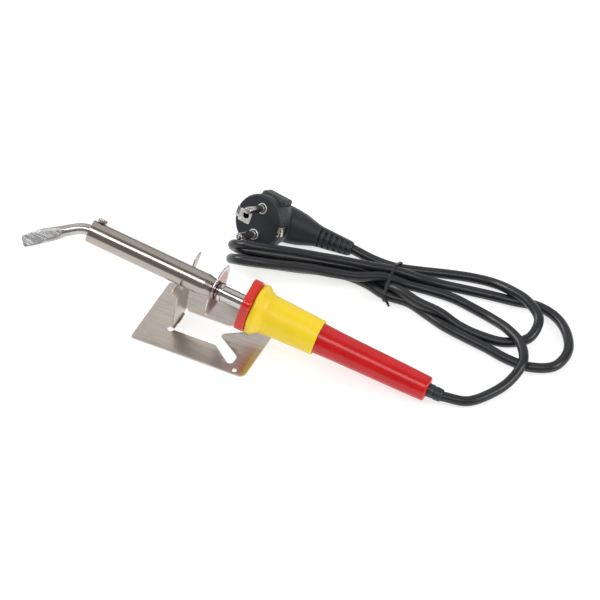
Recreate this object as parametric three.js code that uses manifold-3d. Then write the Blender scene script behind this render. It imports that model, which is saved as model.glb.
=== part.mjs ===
// Electric soldering iron lying in the forked rest of a one-piece sheet-metal stand,
// with its mains lead folded into a tied bundle and a right-angle earthed mains plug.
// Millimetres, +Z up, +X along the stand from the bit towards the handle.
// Origin: centre of the footprint of everything but the free lead and its plug, on the table.
import * as THREE from "three";
import { mergeVertices } from "three/addons/utils/BufferGeometryUtils.js";
import Module from "manifold-3d";

// ---------- driving dimensions ----------
const ORIGIN_X = 43.47; // from the stand's bend line to the origin
const ORIGIN_Y = 0.00;

const PLATE_X0 = -20.5, PLATE_X1 = 63.2; // base plate, measured from the bend line
const PLATE_HALF_W = 28.5;
const PLATE_T = 0.9;
const PLATE_CORNER = 2.0, PLATE_CORNER_NEAR = 4.5;
const FORK_LEAN = (8 * Math.PI) / 180;
const FORK_STEM_HALF = 9.9, FORK_SHOULDER = 33.5, FORK_FLARE = 47.5, FORK_TIP = 50.8;
const FORK_PRONG_HALF = 20.6;
const FORK_V_HALF_ANGLE = (33 * Math.PI) / 180;
const FORK_V_APEX = 30.6; // where the two straight flanks of the V would meet
const FORK_V_ROUND = 2.5;
const RELIEF_R = 2.4, RELIEF_Y = 9.7;
const HANG_HOLE_R = 1.5, HANG_HOLE = [55, -25];

const REST_HEIGHT = 45.6; // barrel axis above the plate, measured along the fork
const REST_STATION = 70; // from the barrel mouth to the fork
const TILT = (12.1 * Math.PI) / 180;
const YAW = (3.4 * Math.PI) / 180;
const ROLL = (50 * Math.PI) / 180; // of the clamping screw, from up towards the far side

const BARREL_R = 7.8, BARREL_WALL = 0.7, BARREL_STRAIGHT = 84.7, BARREL_END = 92.5, BARREL_END_R = 6.1;
const BIT_R = 3.85, SHANK_DEPTH = 55;
const SCREW_S = 5.1, SCREW_HEAD_R = 3.25, SCREW_HEAD_H = 2.4, SCREW_SHANK_R = 2.0;
const DISC_R = 17.9, DISC_T = 0.8, DISC_S = 93.2;
const NECK_R = 5.2, NECK_BORE = 4.6, NECK_S0 = 84, NECK_S1 = 128;
const FLANGE_S0 = 114, FLANGE_S1 = 120.7, FLANGE_AF = 35.2;
const HANDLE_END = 247.5, HANDLE_WALL = 2.2;
const CORD_R = 3.4;
const EXIT_S = 258.0;

const PLUG_FACE = [17.1, 84.2, 25.0]; // centre of the plug's face, from the bend line
const PLUG_NORMAL = [-0.195, -0.8201, 0.538]; // out of the face
const PLUG_PINS = [0.0828, 0.5328, 0.8422]; // along the line of the two pins
const PLUG_R = 18.5, PIN_R = 2.4, PIN_LENGTH = 19, PIN_PITCH = 19;
const PLUG_CORD_ANGLE = (22 * Math.PI) / 180;

// centre line of the free lead, from the iron's strain relief to the plug's boot
const ROUTE = [
  [190.1, 10.9, 5.7], [205.3, 16.1, 3.5], [215.9, 28.8, 3.5], [223.0, 43.7, 5.0], [225.4, 58.9, 9.9], [217.2, 72.8, 10.5],
  [203.7, 82.2, 8.9], [189.3, 89.8, 4.9], [173.3, 94.3, 3.5], [156.8, 96.9, 3.5], [140.2, 96.3, 3.7], [124.2, 92.4, 6.0],
  [109.1, 87.7, 10.8], [94.9, 79.1, 12.3], [79.8, 72.4, 14.9], [65.1, 65.5, 18.8], [51.0, 57.2, 22.6], [36.4, 49.8, 25.8],
  [20.8, 47.6, 23.7], [12.2, 55.1, 13.6], [19.0, 65.3, 4.8], [34.4, 71.2, 3.5], [50.5, 75.7, 3.5], [66.5, 80.8, 3.5],
  [82.9, 84.2, 3.5], [99.3, 82.9, 4.1], [115.1, 78.3, 4.8], [131.4, 80.1, 3.6], [147.2, 75.5, 3.5], [162.8, 69.7, 4.9],
  [179.3, 67.1, 4.5], [195.9, 65.4, 3.6], [212.3, 62.3, 3.5], [228.9, 62.5, 3.5], [242.9, 70.2, 3.5], [245.5, 85.7, 3.5],
  [238.3, 100.5, 3.5], [225.7, 111.3, 3.5], [209.9, 115.4, 3.5], [193.5, 112.6, 3.5], [176.9, 110.4, 3.5], [160.3, 107.7, 3.5],
  [143.9, 104.6, 3.9], [128.4, 99.8, 7.7], [112.3, 96.5, 10.4], [97.0, 90.5, 12.9], [81.2, 85.2, 15.1], [66.0, 78.9, 18.0],
  [51.2, 72.0, 21.6], [36.6, 64.6, 25.1], [20.9, 59.7, 25.8], [9.0, 63.5, 17.9], [12.8, 71.5, 6.5], [27.9, 77.0, 3.8],
  [44.0, 81.7, 3.5], [60.2, 86.1, 3.5], [76.4, 90.2, 3.5], [93.0, 91.5, 3.7], [108.8, 86.8, 4.9], [123.6, 81.8, 10.0],
  [139.5, 77.5, 10.0], [155.7, 77.5, 7.5], [171.7, 75.0, 3.9], [188.4, 73.6, 3.5], [204.8, 75.7, 3.5], [217.6, 85.4, 4.5],
  [217.7, 100.3, 8.3], [205.3, 110.2, 10.4], [189.8, 116.0, 8.9], [174.1, 120.3, 5.2], [157.7, 119.5, 3.5], [141.5, 115.0, 3.5],
  [125.8, 109.5, 3.9], [109.8, 104.7, 4.5], [93.3, 105.5, 3.5], [77.8, 107.2, 4.5],
];
// outline of the tie around the five strands, across the bundle: [side, height]
const TIE_AT = [114.0404, 91.0315, 0.0], TIE_DIR = [0.9939, 0.1103, 0.0];
const TIE = [[14.94, 0.06], [17.28, 0.64], [18.83, 2.65], [19.16, 5.16], [18.19, 7.5], [16.18, 9.05], [7.68, 14.75], [5.16, 15.09], [-1.79, 14.24], [-13.38, 9.59], [-15.72, 8.63], [-17.27, 6.61], [-17.6, 4.1], [-16.63, 1.76], [-14.62, 0.21], [-12.11, 0.06]];
const TIE_T = 0.7, TIE_W = 2.2;

// ---------- solid helpers ----------
const wasm = await Module();
wasm.setup();

function toSolid(geometry) {
  const g = geometry.index ? geometry.toNonIndexed() : geometry.clone();
  const bare = new THREE.BufferGeometry().setAttribute("position", g.getAttribute("position"));
  const merged = mergeVertices(bare, 1e-3);
  const idx = Array.from(merged.index.array);
  const keep = [];
  for (let i = 0; i < idx.length; i += 3) {
    const [a, b, c] = [idx[i], idx[i + 1], idx[i + 2]];
    if (a !== b && b !== c && a !== c) keep.push(a, b, c);
  }
  const make = (tri) =>
    new wasm.Manifold(new wasm.Mesh({
      numProp: 3,
      vertProperties: new Float32Array(merged.attributes.position.array),
      triVerts: new Uint32Array(tri),
    }));
  let s = make(keep);
  if (s.volume() < 0) {
    const turned = [];
    for (let i = 0; i < keep.length; i += 3) turned.push(keep[i], keep[i + 2], keep[i + 1]);
    s = make(turned);
  }
  return s;
}

function toGeometry(s) {
  const m = s.getMesh(), n = m.numProp, v = new Float32Array(m.numVert * 3);
  for (let i = 0; i < m.numVert; i++) v.set(m.vertProperties.subarray(i * n, i * n + 3), i * 3);
  return new THREE.BufferGeometry()
    .setAttribute("position", new THREE.BufferAttribute(v, 3))
    .setIndex(new THREE.BufferAttribute(new Uint32Array(m.triVerts), 1));
}

// a turned piece about +X: profile of [station, radius]; closed on itself when it is a ring
function turned(profile, segments = 24, ring = false) {
  const pts = profile.map(([s, r]) => new THREE.Vector2(r, s));
  if (ring) pts.push(pts[0].clone());
  return toSolid(new THREE.LatheGeometry(pts, segments).rotateZ(-Math.PI / 2));
}
const rod = (s0, s1, r, seg = 20) => turned([[s0, 0], [s0, r], [s1, r], [s1, 0]], seg);
const tube = (s0, s1, ri, ro, seg = 24) => turned([[s0, ri], [s0, ro], [s1, ro], [s1, ri]], seg, true);
const moved = (s, x, y, z) => toSolid(toGeometry(s).translate(x, y, z));
const box = (x0, x1, y0, y1, z0, z1) =>
  toSolid(new THREE.BoxGeometry(x1 - x0, y1 - y0, z1 - z0).translate((x0 + x1) / 2, (y0 + y1) / 2, (z0 + z1) / 2));
// a rod along +Z of the local frame
const post = (x, y, z0, z1, r, seg = 20) =>
  toSolid(new THREE.CylinderGeometry(r, r, z1 - z0, seg).rotateX(Math.PI / 2).translate(x, y, (z0 + z1) / 2));

const part = new THREE.Group();
const frame = new THREE.Group();
frame.position.set(-ORIGIN_X, -ORIGIN_Y, 0);
part.add(frame);

function put(parent, name, solid, color, roughness, metalness) {
  const mesh = new THREE.Mesh(toGeometry(solid), new THREE.MeshStandardMaterial({ color, roughness, metalness }));
  mesh.name = name;
  parent.add(mesh);
  return mesh;
}

// ---------- stand: one stamped and folded plate ----------
function forkOutline(grow = 0) {
  // [across, along]; the stem's foot is at 0
  const g = grow, pts = [];
  const vy = (x) => (x - FORK_V_APEX) * Math.tan(FORK_V_HALF_ANGLE);
  pts.push([FORK_STEM_HALF + g, 0], [FORK_STEM_HALF + g, FORK_SHOULDER + g * 0.4]);
  pts.push([FORK_PRONG_HALF + g, FORK_FLARE], [FORK_PRONG_HALF + 0.6 + g, FORK_FLARE + 1.6]);
  pts.push([FORK_PRONG_HALF + g * 0.7, FORK_TIP - 0.4 + g * 0.7], [FORK_PRONG_HALF - 1, FORK_TIP + g]);
  pts.push([vy(FORK_TIP - 0.6) + 0.9 - g, FORK_TIP + g], [vy(FORK_TIP - 1.2) - g, FORK_TIP - 1.2]);
  const centre = FORK_V_APEX + FORK_V_ROUND / Math.sin(FORK_V_HALF_ANGLE);
  const r = FORK_V_ROUND - g;
  for (let k = 0; k <= 4; k++) {
    const a = -FORK_V_HALF_ANGLE - ((Math.PI / 2 - FORK_V_HALF_ANGLE) * k) / 4;
    pts.push([r * Math.cos(a), centre + r * Math.sin(a)]);
  }
  const left = pts.slice(0, -1).reverse().map(([y, x]) => [-y, x]);
  return [...pts, ...left];
}
function rounded(x0, x1, y0, y1, radii) {
  const s = new THREE.Shape(), [a, b, c, d] = radii; // near-left, near-right, far-right, far-left
  s.moveTo(x0 + a, y0); s.lineTo(x1 - b, y0); s.absarc(x1 - b, y0 + b, b, -Math.PI / 2, 0, false);
  s.lineTo(x1, y1 - c); s.absarc(x1 - c, y1 - c, c, 0, Math.PI / 2, false);
  s.lineTo(x0 + d, y1); s.absarc(x0 + d, y1 - d, d, Math.PI / 2, Math.PI, false);
  s.lineTo(x0, y0 + a); s.absarc(x0 + a, y0 + a, a, Math.PI, 1.5 * Math.PI, false);
  return s;
}
const flat = (shape, depth, seg = 5) =>
  new THREE.ExtrudeGeometry(shape, { depth, bevelEnabled: false, curveSegments: seg });

const blank = toSolid(flat(rounded(PLATE_X0, PLATE_X1, -PLATE_HALF_W, PLATE_HALF_W,
  [PLATE_CORNER, PLATE_CORNER_NEAR, PLATE_CORNER, PLATE_CORNER]), PLATE_T));
const windowShape = new THREE.Shape(forkOutline(0.15).map(([y, x]) => new THREE.Vector2(x + (x < 1 ? 0.5 : 0), y)));
let stand = blank.subtract(toSolid(flat(windowShape, PLATE_T + 2).translate(0, 0, -1)));
for (const side of [-1, 1]) stand = stand.subtract(post(0.2, side * RELIEF_Y, -1, PLATE_T + 1, RELIEF_R, 18));
stand = stand.subtract(post(HANG_HOLE[0], HANG_HOLE[1], -1, PLATE_T + 1, HANG_HOLE_R, 18));
const forkShape = new THREE.Shape(forkOutline(0).map(([y, x]) => new THREE.Vector2(y, x)));
let fork = toSolid(flat(forkShape, PLATE_T)
  .applyMatrix4(new THREE.Matrix4().makeBasis(
    new THREE.Vector3(0, 1, 0),
    new THREE.Vector3(Math.sin(FORK_LEAN), 0, Math.cos(FORK_LEAN)),
    new THREE.Vector3(Math.cos(FORK_LEAN), 0, -Math.sin(FORK_LEAN))))
  .translate(-0.35, 0, 0.14));
for (const side of [-1, 1])
  fork = fork.subtract(toSolid(new THREE.CylinderGeometry(RELIEF_R, RELIEF_R, 8, 18).rotateZ(Math.PI / 2).translate(0, side * RELIEF_Y, 0.2)));
// inside of the bend
const bendFillet = new THREE.Shape([[-1.6, 0.5], [0.2, 0.5], [0.2, 2.4], [-0.08, 2.4], [-0.3, 1.6], [-0.8, 1.0], [-1.6, 0.85]].map(([x, z]) => new THREE.Vector2(x, z)));
const fillet = toSolid(flat(bendFillet, 2 * (RELIEF_Y - RELIEF_R)).rotateX(Math.PI / 2).translate(0, RELIEF_Y - RELIEF_R, 0));
stand = stand.add(fork).add(fillet);
put(frame, "stand_plate", stand, 0x9b948a, 0.35, 0.9);

// ---------- iron: local +X from the barrel mouth to the cord, local +Z along the clamping screw ----------
const axis = new THREE.Vector3(Math.cos(TILT) * Math.cos(YAW), Math.cos(TILT) * Math.sin(YAW), -Math.sin(TILT));
const up = new THREE.Vector3(0, 0, 1).addScaledVector(axis, Math.sin(TILT)).normalize();
const far = new THREE.Vector3().crossVectors(up, axis).normalize();
const screwDir = up.clone().multiplyScalar(Math.cos(ROLL)).addScaledVector(far, Math.sin(ROLL)).normalize();
const sideDir = new THREE.Vector3().crossVectors(screwDir, axis).normalize();
const restCentre = new THREE.Vector3(REST_HEIGHT * Math.sin(FORK_LEAN), 0, REST_HEIGHT * Math.cos(FORK_LEAN));
const mouth = restCentre.clone().addScaledVector(axis, -REST_STATION);
const iron = new THREE.Group();
iron.applyMatrix4(new THREE.Matrix4().makeBasis(axis, sideDir, screwDir).setPosition(mouth));
frame.add(iron);

// heated end
put(iron, "barrel", turned([
  [0, BARREL_R - 0.4], [0.4, BARREL_R], [BARREL_STRAIGHT, BARREL_R], [BARREL_END, BARREL_END_R],
  [BARREL_END, BARREL_END_R - BARREL_WALL], [BARREL_STRAIGHT, BARREL_R - BARREL_WALL], [0, BARREL_R - BARREL_WALL]], 28, true)
  .subtract(post(SCREW_S, 0, 5, 9, SCREW_SHANK_R + 0.3)), 0xa8a29c, 0.22, 1);
put(iron, "front_bush", tube(1.5, 10, BIT_R + 0.3, BARREL_R - BARREL_WALL - 0.3)
  .subtract(post(SCREW_S, 0, 3, 9, SCREW_SHANK_R + 0.3)), 0xb0a890, 0.4, 1);
const screw = post(SCREW_S, 0, BIT_R + 0.35, BARREL_R + 0.5, SCREW_SHANK_R)
  .add(post(SCREW_S, 0, BARREL_R + 0.3, BARREL_R + 0.3 + SCREW_HEAD_H, SCREW_HEAD_R, 28))
  .subtract(box(SCREW_S - 0.45, SCREW_S + 0.45, -4, 4, BARREL_R + 0.3 + SCREW_HEAD_H - 1.1, BARREL_R + 4));
put(iron, "bit_screw", screw, 0x8d8a86, 0.3, 1);
put(iron, "bit_socket_tube", tube(10.5, 79, BIT_R + 0.3, 4.75), 0xa0a0a0, 0.4, 1);
put(iron, "mica_inner", tube(14, 78, 5.05, 5.35, 24), 0xcfc7a8, 0.6, 0);
class Helix extends THREE.Curve {
  getPoint(t, out = new THREE.Vector3()) {
    const a = t * 2 * Math.PI * 10;
    return out.set(18 + 56 * t, 5.95 * Math.cos(a), 5.95 * Math.sin(a));
  }
}
const wire = (r, n) => new THREE.Shape(Array.from({ length: n }, (_, i) =>
  new THREE.Vector2(r * Math.cos((2 * Math.PI * i) / n), r * Math.sin((2 * Math.PI * i) / n))));
put(iron, "heater_winding", toSolid(new THREE.ExtrudeGeometry(wire(0.3, 5), { steps: 110, bevelEnabled: false, extrudePath: new Helix() })), 0x8a7f78, 0.4, 1);
put(iron, "mica_outer", tube(14, 78, 6.55, 6.8, 24), 0xcfc7a8, 0.6, 0);
let spacer = rod(79.6, 83.2, 6.6, 28);
for (const y of [-2.6, 0, 2.6]) spacer = spacer.subtract(moved(rod(79, 84, 1.05, 12), 0, y, 0));
put(iron, "ceramic_spacer", spacer, 0xe8e2d4, 0.5, 0);
put(iron, "neck_tube", tube(NECK_S0, NECK_S1, NECK_BORE, NECK_R), 0xb5b2ae, 0.2, 1);
put(iron, "heat_shield_disc", tube(DISC_S, DISC_S + DISC_T, NECK_R + 0.3, DISC_R, 36), 0xc4c0bd, 0.12, 1);
put(iron, "shield_collar", turned([[94.4, 5.5], [94.4, 6.0], [94.8, 6.4], [97.2, 6.4], [97.6, 6.0], [97.6, 5.5]], 32, true), 0xb5b2ae, 0.25, 1);

// handle
const hexPts = [];
const flatR = FLANGE_AF / 2, corner = 4.0, cornerR = flatR / Math.cos(Math.PI / 6) - corner / Math.cos(Math.PI / 6);
for (let k = 0; k < 6; k++) {
  const mid = Math.PI / 6 + (k * Math.PI) / 3; // vertices at 30 degrees from the screw's direction
  for (let j = -2; j <= 2; j++) {
    const a = mid + (j * Math.PI) / 12;
    hexPts.push(new THREE.Vector2(cornerR * Math.cos(mid) + corner * Math.cos(a), cornerR * Math.sin(mid) + corner * Math.sin(a)));
  }
}
// hexagon drawn across local Z (first axis) and Y (second), so a flat faces the screw's direction
const hexPlate = toSolid(new THREE.ExtrudeGeometry(new THREE.Shape(hexPts), {
  depth: FLANGE_S1 - FLANGE_S0 - 2, bevelEnabled: true, bevelThickness: 1, bevelSize: 0.9, bevelOffset: -0.9, bevelSegments: 2 })
  .applyMatrix4(new THREE.Matrix4().makeBasis(new THREE.Vector3(0, 1, 0), new THREE.Vector3(0, 0, 1), new THREE.Vector3(1, 0, 0)))
  .translate(FLANGE_S0 + 1, 0, 0));
put(iron, "hex_flange", hexPlate.add(rod(FLANGE_S1 - 1, 131, 8.0, 32)).subtract(rod(110, 135, NECK_R + 0.3, 32)), 0xc01a0c, 0.25, 0);
put(iron, "grip_sleeve", turned([
  [121.0, 10.95], [121.0, 16.4], [121.6, 17.2], [122.8, 17.6], [124.6, 17.5], [126.0, 16.8], [127.6, 15.4], [129.2, 14.3], [131.0, 13.7],
  [136, 13.4], [149, 12.9], [160, 12.45], [166.6, 12.2], [167.6, 11.8], [167.8, 11.3], [167.8, 10.95]], 28, true), 0xf9dc26, 0.5, 0);
put(iron, "handle_shell", turned([
  [121.1, 8.4], [121.1, 10.6], [168, 10.6], [183, 9.95], [229, 9.1], [244.5, 8.55], [246.4, 8.0], [HANDLE_END, 6.6],
  [HANDLE_END, 5.0], [243.6, 5.0], [243.6, 6.0], [240, 6.4], [229, 9.1 - HANDLE_WALL], [183, 9.95 - HANDLE_WALL], [168, 8.4]], 28, true), 0xbe0f14, 0.2, 0);
let block = box(176, 192, -5.4, 5.4, -3.9, 3.9);
for (const y of [-2.6, 0, 2.6]) block = block.subtract(moved(rod(175, 193, 1.05, 14), 0, y, 0));
const screwAt = [[179.4, -2.6], [184, 0], [188.6, 2.6]];
for (const [s, y] of screwAt) block = block.subtract(post(s, y, 0.4, 5, 1.0, 14));
put(iron, "terminal_block", block, 0xe9e4d6, 0.6, 0);
screwAt.forEach(([s, y], i) => put(iron, "terminal_screw_" + (i + 1), post(s, y, 1.35, 4.4, 0.7, 12)
  .subtract(box(s - 0.15, s + 0.15, y - 1.2, y + 1.2, 4.0, 5)), 0xc9b26a, 0.35, 1));
[["element_lead_live", -2.6, 85], ["element_lead_neutral", 2.6, 85], ["earth_bond_lead", 0, 104]].forEach(([name, y, s0]) =>
  put(iron, name, moved(rod(s0, 183.4, 0.7, 10), 0, y, 0), 0xd8d2c2, 0.7, 0));
[["core_live", -2.6, 0x7a4a2a], ["core_neutral", 2.6, 0x2b5aa8], ["core_earth", 0, 0x6f9a2f]].forEach(([name, y, c]) =>
  put(iron, name, moved(rod(184.6, 199.6, 0.7, 10), 0, y * 1.0, 0), c, 0.5, 0));
put(iron, "cord_tail", rod(200, EXIT_S - 1.0, CORD_R, 20), 0x22252b, 0.5, 0);
put(iron, "cord_crimp", tube(224, 231, CORD_R + 0.3, 5.6, 24), 0xb0aca6, 0.35, 1);
put(iron, "cord_boot", turned([
  [233.5, CORD_R + 0.3], [233.5, 5.7], [239, 5.7], [241.5, 5.4], [243.2, 5.4], [243.2, 4.65], [249, 4.62], [254.5, 4.5], [257.1, 4.3], [257.6, 4.0], [257.6, CORD_R + 0.3]], 28, true), 0x1b1d21, 0.45, 0);

// bit: round copper bar, bent just in front of the mouth and forged to a chisel in the plane of the bend
const bitLine = [[SHANK_DEPTH, 0], [20, 0], [6, 0], [1, 0], [-2.5, -0.25], [-6.9, -1.8], [-10.6, -4.1], [-15.1, -7.3], [-21, -12.1], [-26.6, -16.1], [-32.4, -21.1], [-37.8, -25.5]];
const bitCurve = new THREE.CatmullRomCurve3(bitLine.map(([s, z]) => new THREE.Vector3(s, 0, z)), false, "centripetal");
const bitLen = bitCurve.getLength();
// sections along the bar: half-width in the bend plane, half-thickness across it
function bitSection(fromTip) {
  const k = Math.min(1, Math.max(0, (fromTip - 1) / 27));
  const t = 0.85 + (BIT_R - 0.85) * Math.pow(k, 0.8);
  const w = fromTip > 28 ? BIT_R : BIT_R + 1.0 * Math.sin(Math.PI * Math.min(1, fromTip / 28)) * (fromTip > 14 ? 1 : 1) + (fromTip < 14 ? 0.1 * (1 - fromTip / 14) : 0);
  const square = 1 - k;
  return [w, t, square];
}
function lofted(rings) {
  const n = rings[0].length, pos = [], idx = [];
  rings.forEach((r) => r.forEach((p) => pos.push(p.x, p.y, p.z)));
  for (let i = 0; i + 1 < rings.length; i++)
    for (let j = 0; j < n; j++) {
      const a = i * n + j, b = i * n + ((j + 1) % n), c = a + n, d = b + n;
      idx.push(a, b, d, a, d, c);
    }
  const ends = [0, rings.length - 1];
  ends.forEach((e, w) => {
    const mid = rings[e].reduce((m, p) => m.add(p), new THREE.Vector3()).multiplyScalar(1 / n);
    const k = pos.length / 3;
    pos.push(mid.x, mid.y, mid.z);
    for (let j = 0; j < n; j++) {
      const a = e * n + j, b = e * n + ((j + 1) % n);
      w === 0 ? idx.push(k, b, a) : idx.push(k, a, b);
    }
  });
  return toSolid(new THREE.BufferGeometry().setAttribute("position", new THREE.Float32BufferAttribute(pos, 3)).setIndex(idx));
}
const rings = [];
const stops = [0, 0.5, 0.53, 0.55, 0.57, 0.59, 0.61, 0.635, 0.66, 0.69, 0.72, 0.76, 0.79, 0.82, 0.85, 0.88, 0.91, 0.94, 0.97, 1];
for (const u of stops) {
  const p = bitCurve.getPointAt(u), t = bitCurve.getTangentAt(u), fromTip = bitLen * (1 - u);
  const [w, h, sq] = bitSection(fromTip);
  const inPlane = new THREE.Vector3(-t.z, 0, t.x).normalize(), across = new THREE.Vector3(0, 1, 0);
  rings.push(Array.from({ length: 24 }, (_, i) => {
    const a = (2 * Math.PI * i) / 24, c = Math.cos(a), s = Math.sin(a), e = 1 - 0.62 * sq;
    const cx = Math.sign(c) * Math.pow(Math.abs(c), e), sx = Math.sign(s) * Math.pow(Math.abs(s), e);
    return p.clone().addScaledVector(inPlane, w * cx).addScaledVector(across, h * sx);
  }));
}
put(iron, "bit", lofted(rings), 0xb9b6b0, 0.45, 0.9);

// ---------- mains lead ----------
const route = new THREE.CatmullRomCurve3(ROUTE.map((p) => new THREE.Vector3(...p)), false, "centripetal");
put(frame, "power_cord", toSolid(new THREE.ExtrudeGeometry(wire(CORD_R, 8), { steps: 78, bevelEnabled: false, extrudePath: route })), 0x22252b, 0.5, 0);
const tieOuter = new THREE.Shape(TIE.map(([y, z]) => new THREE.Vector2(y, z)));
tieOuter.holes.push(new THREE.Path([[14.85, 0.74], [16.86, 1.19], [18.18, 2.91], [18.47, 5.07], [17.64, 7.08], [15.91, 8.4], [7.41, 14.11], [5.25, 14.39], [-1.7, 13.55], [-13.29, 8.9], [-15.3, 8.07], [-16.62, 6.35], [-16.91, 4.19], [-16.08, 2.18], [-14.36, 0.86], [-12.2, 0.74]].map(([y, z]) => new THREE.Vector2(y, z))));
const tieSide = new THREE.Vector3(0, 0, 1).cross(new THREE.Vector3(...TIE_DIR));
put(frame, "twist_tie", toSolid(flat(tieOuter, TIE_W).translate(0, 0, -TIE_W / 2)
  .applyMatrix4(new THREE.Matrix4().makeBasis(tieSide, new THREE.Vector3(0, 0, 1), new THREE.Vector3().crossVectors(tieSide, new THREE.Vector3(0, 0, 1))).setPosition(new THREE.Vector3(...TIE_AT)))), 0x17181a, 0.5, 0);

// ---------- plug: local +X towards the cord, +Y along the pin line, +Z out of the face ----------
const pn = new THREE.Vector3(...PLUG_NORMAL).normalize();
const pp = new THREE.Vector3(...PLUG_PINS).addScaledVector(pn, -new THREE.Vector3(...PLUG_PINS).dot(pn)).normalize();
const px = new THREE.Vector3().crossVectors(pp, pn);
const plug = new THREE.Group();
plug.applyMatrix4(new THREE.Matrix4().makeBasis(px, pp, pn).setPosition(new THREE.Vector3(...PLUG_FACE)));
frame.add(plug);
const lathedZ = (profile, seg) => toSolid(new THREE.LatheGeometry(profile.map(([z, r]) => new THREE.Vector2(r, z)), seg).rotateX(Math.PI / 2));
let plugBody = lathedZ([[-26, 0], [-26, 11], [-24.6, 12.9], [-20, 16], [-12, 18.1], [-1, 18.5], [0, 17.7], [0, 0]], 28);
// tapered neck and ribbed boot, leaning back from the face
const sleeve = toSolid(toGeometry(turned([
  [0, 0], [0, 12], [10, 12], [24, 9.6], [31, 7.3], [33, 7.2], [33.6, 6.2], [35.4, 6.1], [36, 6.9], [38, 6.7], [38.6, 5.7], [40.4, 5.6], [41, 6.4], [43, 6.2],
  [43.6, 5.2], [45.4, 5.1], [46, 5.9], [48, 5.6], [48.6, 4.8], [50.4, 4.7], [51, 5.3], [54.5, 4.9], [56.6, 4.5], [56.6, 0]], 18))
  .applyMatrix4(new THREE.Matrix4().makeRotationY(PLUG_CORD_ANGLE)).translate(0, 0, -20));
plugBody = plugBody.add(sleeve);
plugBody = plugBody.add(box(-9, 13, 14.5, 19.4, -22, -7)); // grip ridge
for (const side of [-1, 1]) plugBody = plugBody.subtract(post(0, (side * PIN_PITCH) / 2, -10, 1, PIN_R + 0.3));
plugBody = plugBody.subtract(post(-10, 0, -14, 1, 3.5));
plugBody = plugBody.subtract(box(-20, -16.6, -4.2, 4.2, -9, 1)).subtract(box(16.6, 20, -4.2, 4.2, -9, 1));
put(plug, "plug_body", plugBody, 0x23262c, 0.55, 0);
for (const side of [-1, 1])
  put(plug, side < 0 ? "plug_pin_lower" : "plug_pin_upper", lathedZ([[-9.6, 0], [-9.6, PIN_R], [PIN_LENGTH - 1.2, PIN_R], [PIN_LENGTH - 0.3, PIN_R * 0.75], [PIN_LENGTH, PIN_R * 0.4], [PIN_LENGTH, 0]], 20)
    .translate([0, (side * PIN_PITCH) / 2, 0]), 0xc9c3b4, 0.25, 1);
put(plug, "earth_socket", lathedZ([[-13.6, 2.3], [-13.6, 3.2], [0.2, 3.2], [0.2, 2.3], [-13.6, 2.3]], 24).translate([-10, 0, 0]), 0xc8c8c6, 0.25, 1);
put(plug, "earth_clip_left", box(-18.4, -16.9, -3.6, 3.6, -8.7, 0.2), 0xc8c8c6, 0.25, 1);
put(plug, "earth_clip_right", box(16.9, 18.4, -3.6, 3.6, -8.7, 0.2), 0xc8c8c6, 0.25, 1);

export default part;
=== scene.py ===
import math

import bmesh
import bpy
import numpy as np
from mathutils import Matrix, Vector, geometry, noise


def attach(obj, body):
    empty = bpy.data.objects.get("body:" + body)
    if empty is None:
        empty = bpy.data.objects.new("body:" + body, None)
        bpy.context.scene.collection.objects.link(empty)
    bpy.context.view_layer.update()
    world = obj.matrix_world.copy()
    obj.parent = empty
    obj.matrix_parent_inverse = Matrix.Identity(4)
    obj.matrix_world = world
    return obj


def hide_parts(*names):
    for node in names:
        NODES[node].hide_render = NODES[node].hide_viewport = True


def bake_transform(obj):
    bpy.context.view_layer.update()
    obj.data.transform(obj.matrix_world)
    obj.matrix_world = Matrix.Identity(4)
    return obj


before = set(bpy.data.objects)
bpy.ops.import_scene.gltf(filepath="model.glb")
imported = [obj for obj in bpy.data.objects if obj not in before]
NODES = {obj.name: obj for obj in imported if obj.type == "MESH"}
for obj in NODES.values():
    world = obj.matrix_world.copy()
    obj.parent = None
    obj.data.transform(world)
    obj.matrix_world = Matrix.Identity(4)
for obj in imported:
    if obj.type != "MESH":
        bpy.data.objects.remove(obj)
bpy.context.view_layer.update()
COLLECTION = bpy.context.scene.collection

# ------------------------------------------------------------------ frames (millimetres from the stand's bend line)
ORIGIN = np.array([43.47, 0.0, 0.0])
TILT, YAW, ROLL = math.radians(12.1), math.radians(3.4), math.radians(50)
AXIS = np.array([math.cos(TILT) * math.cos(YAW), math.cos(TILT) * math.sin(YAW), -math.sin(TILT)])
UP = np.array([0, 0, 1.0]) + AXIS * math.sin(TILT)
UP /= np.linalg.norm(UP)
FAR = np.cross(UP, AXIS)
FAR /= np.linalg.norm(FAR)
SCREW = UP * math.cos(ROLL) + FAR * math.sin(ROLL)
SIDE = np.cross(SCREW, AXIS)
LEAN = math.radians(8)
MOUTH = np.array([45.6 * math.sin(LEAN), 0, 45.6 * math.cos(LEAN)]) - 70 * AXIS
PF = np.array([17.1, 84.2, 25.0])
PN = np.array([-0.195, -0.8201, 0.538])
PP = np.array([0.0828, 0.5328, 0.8422])
PP = PP - PP.dot(PN) * PN
PP /= np.linalg.norm(PP)
PX = np.cross(PP, PN)
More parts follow.
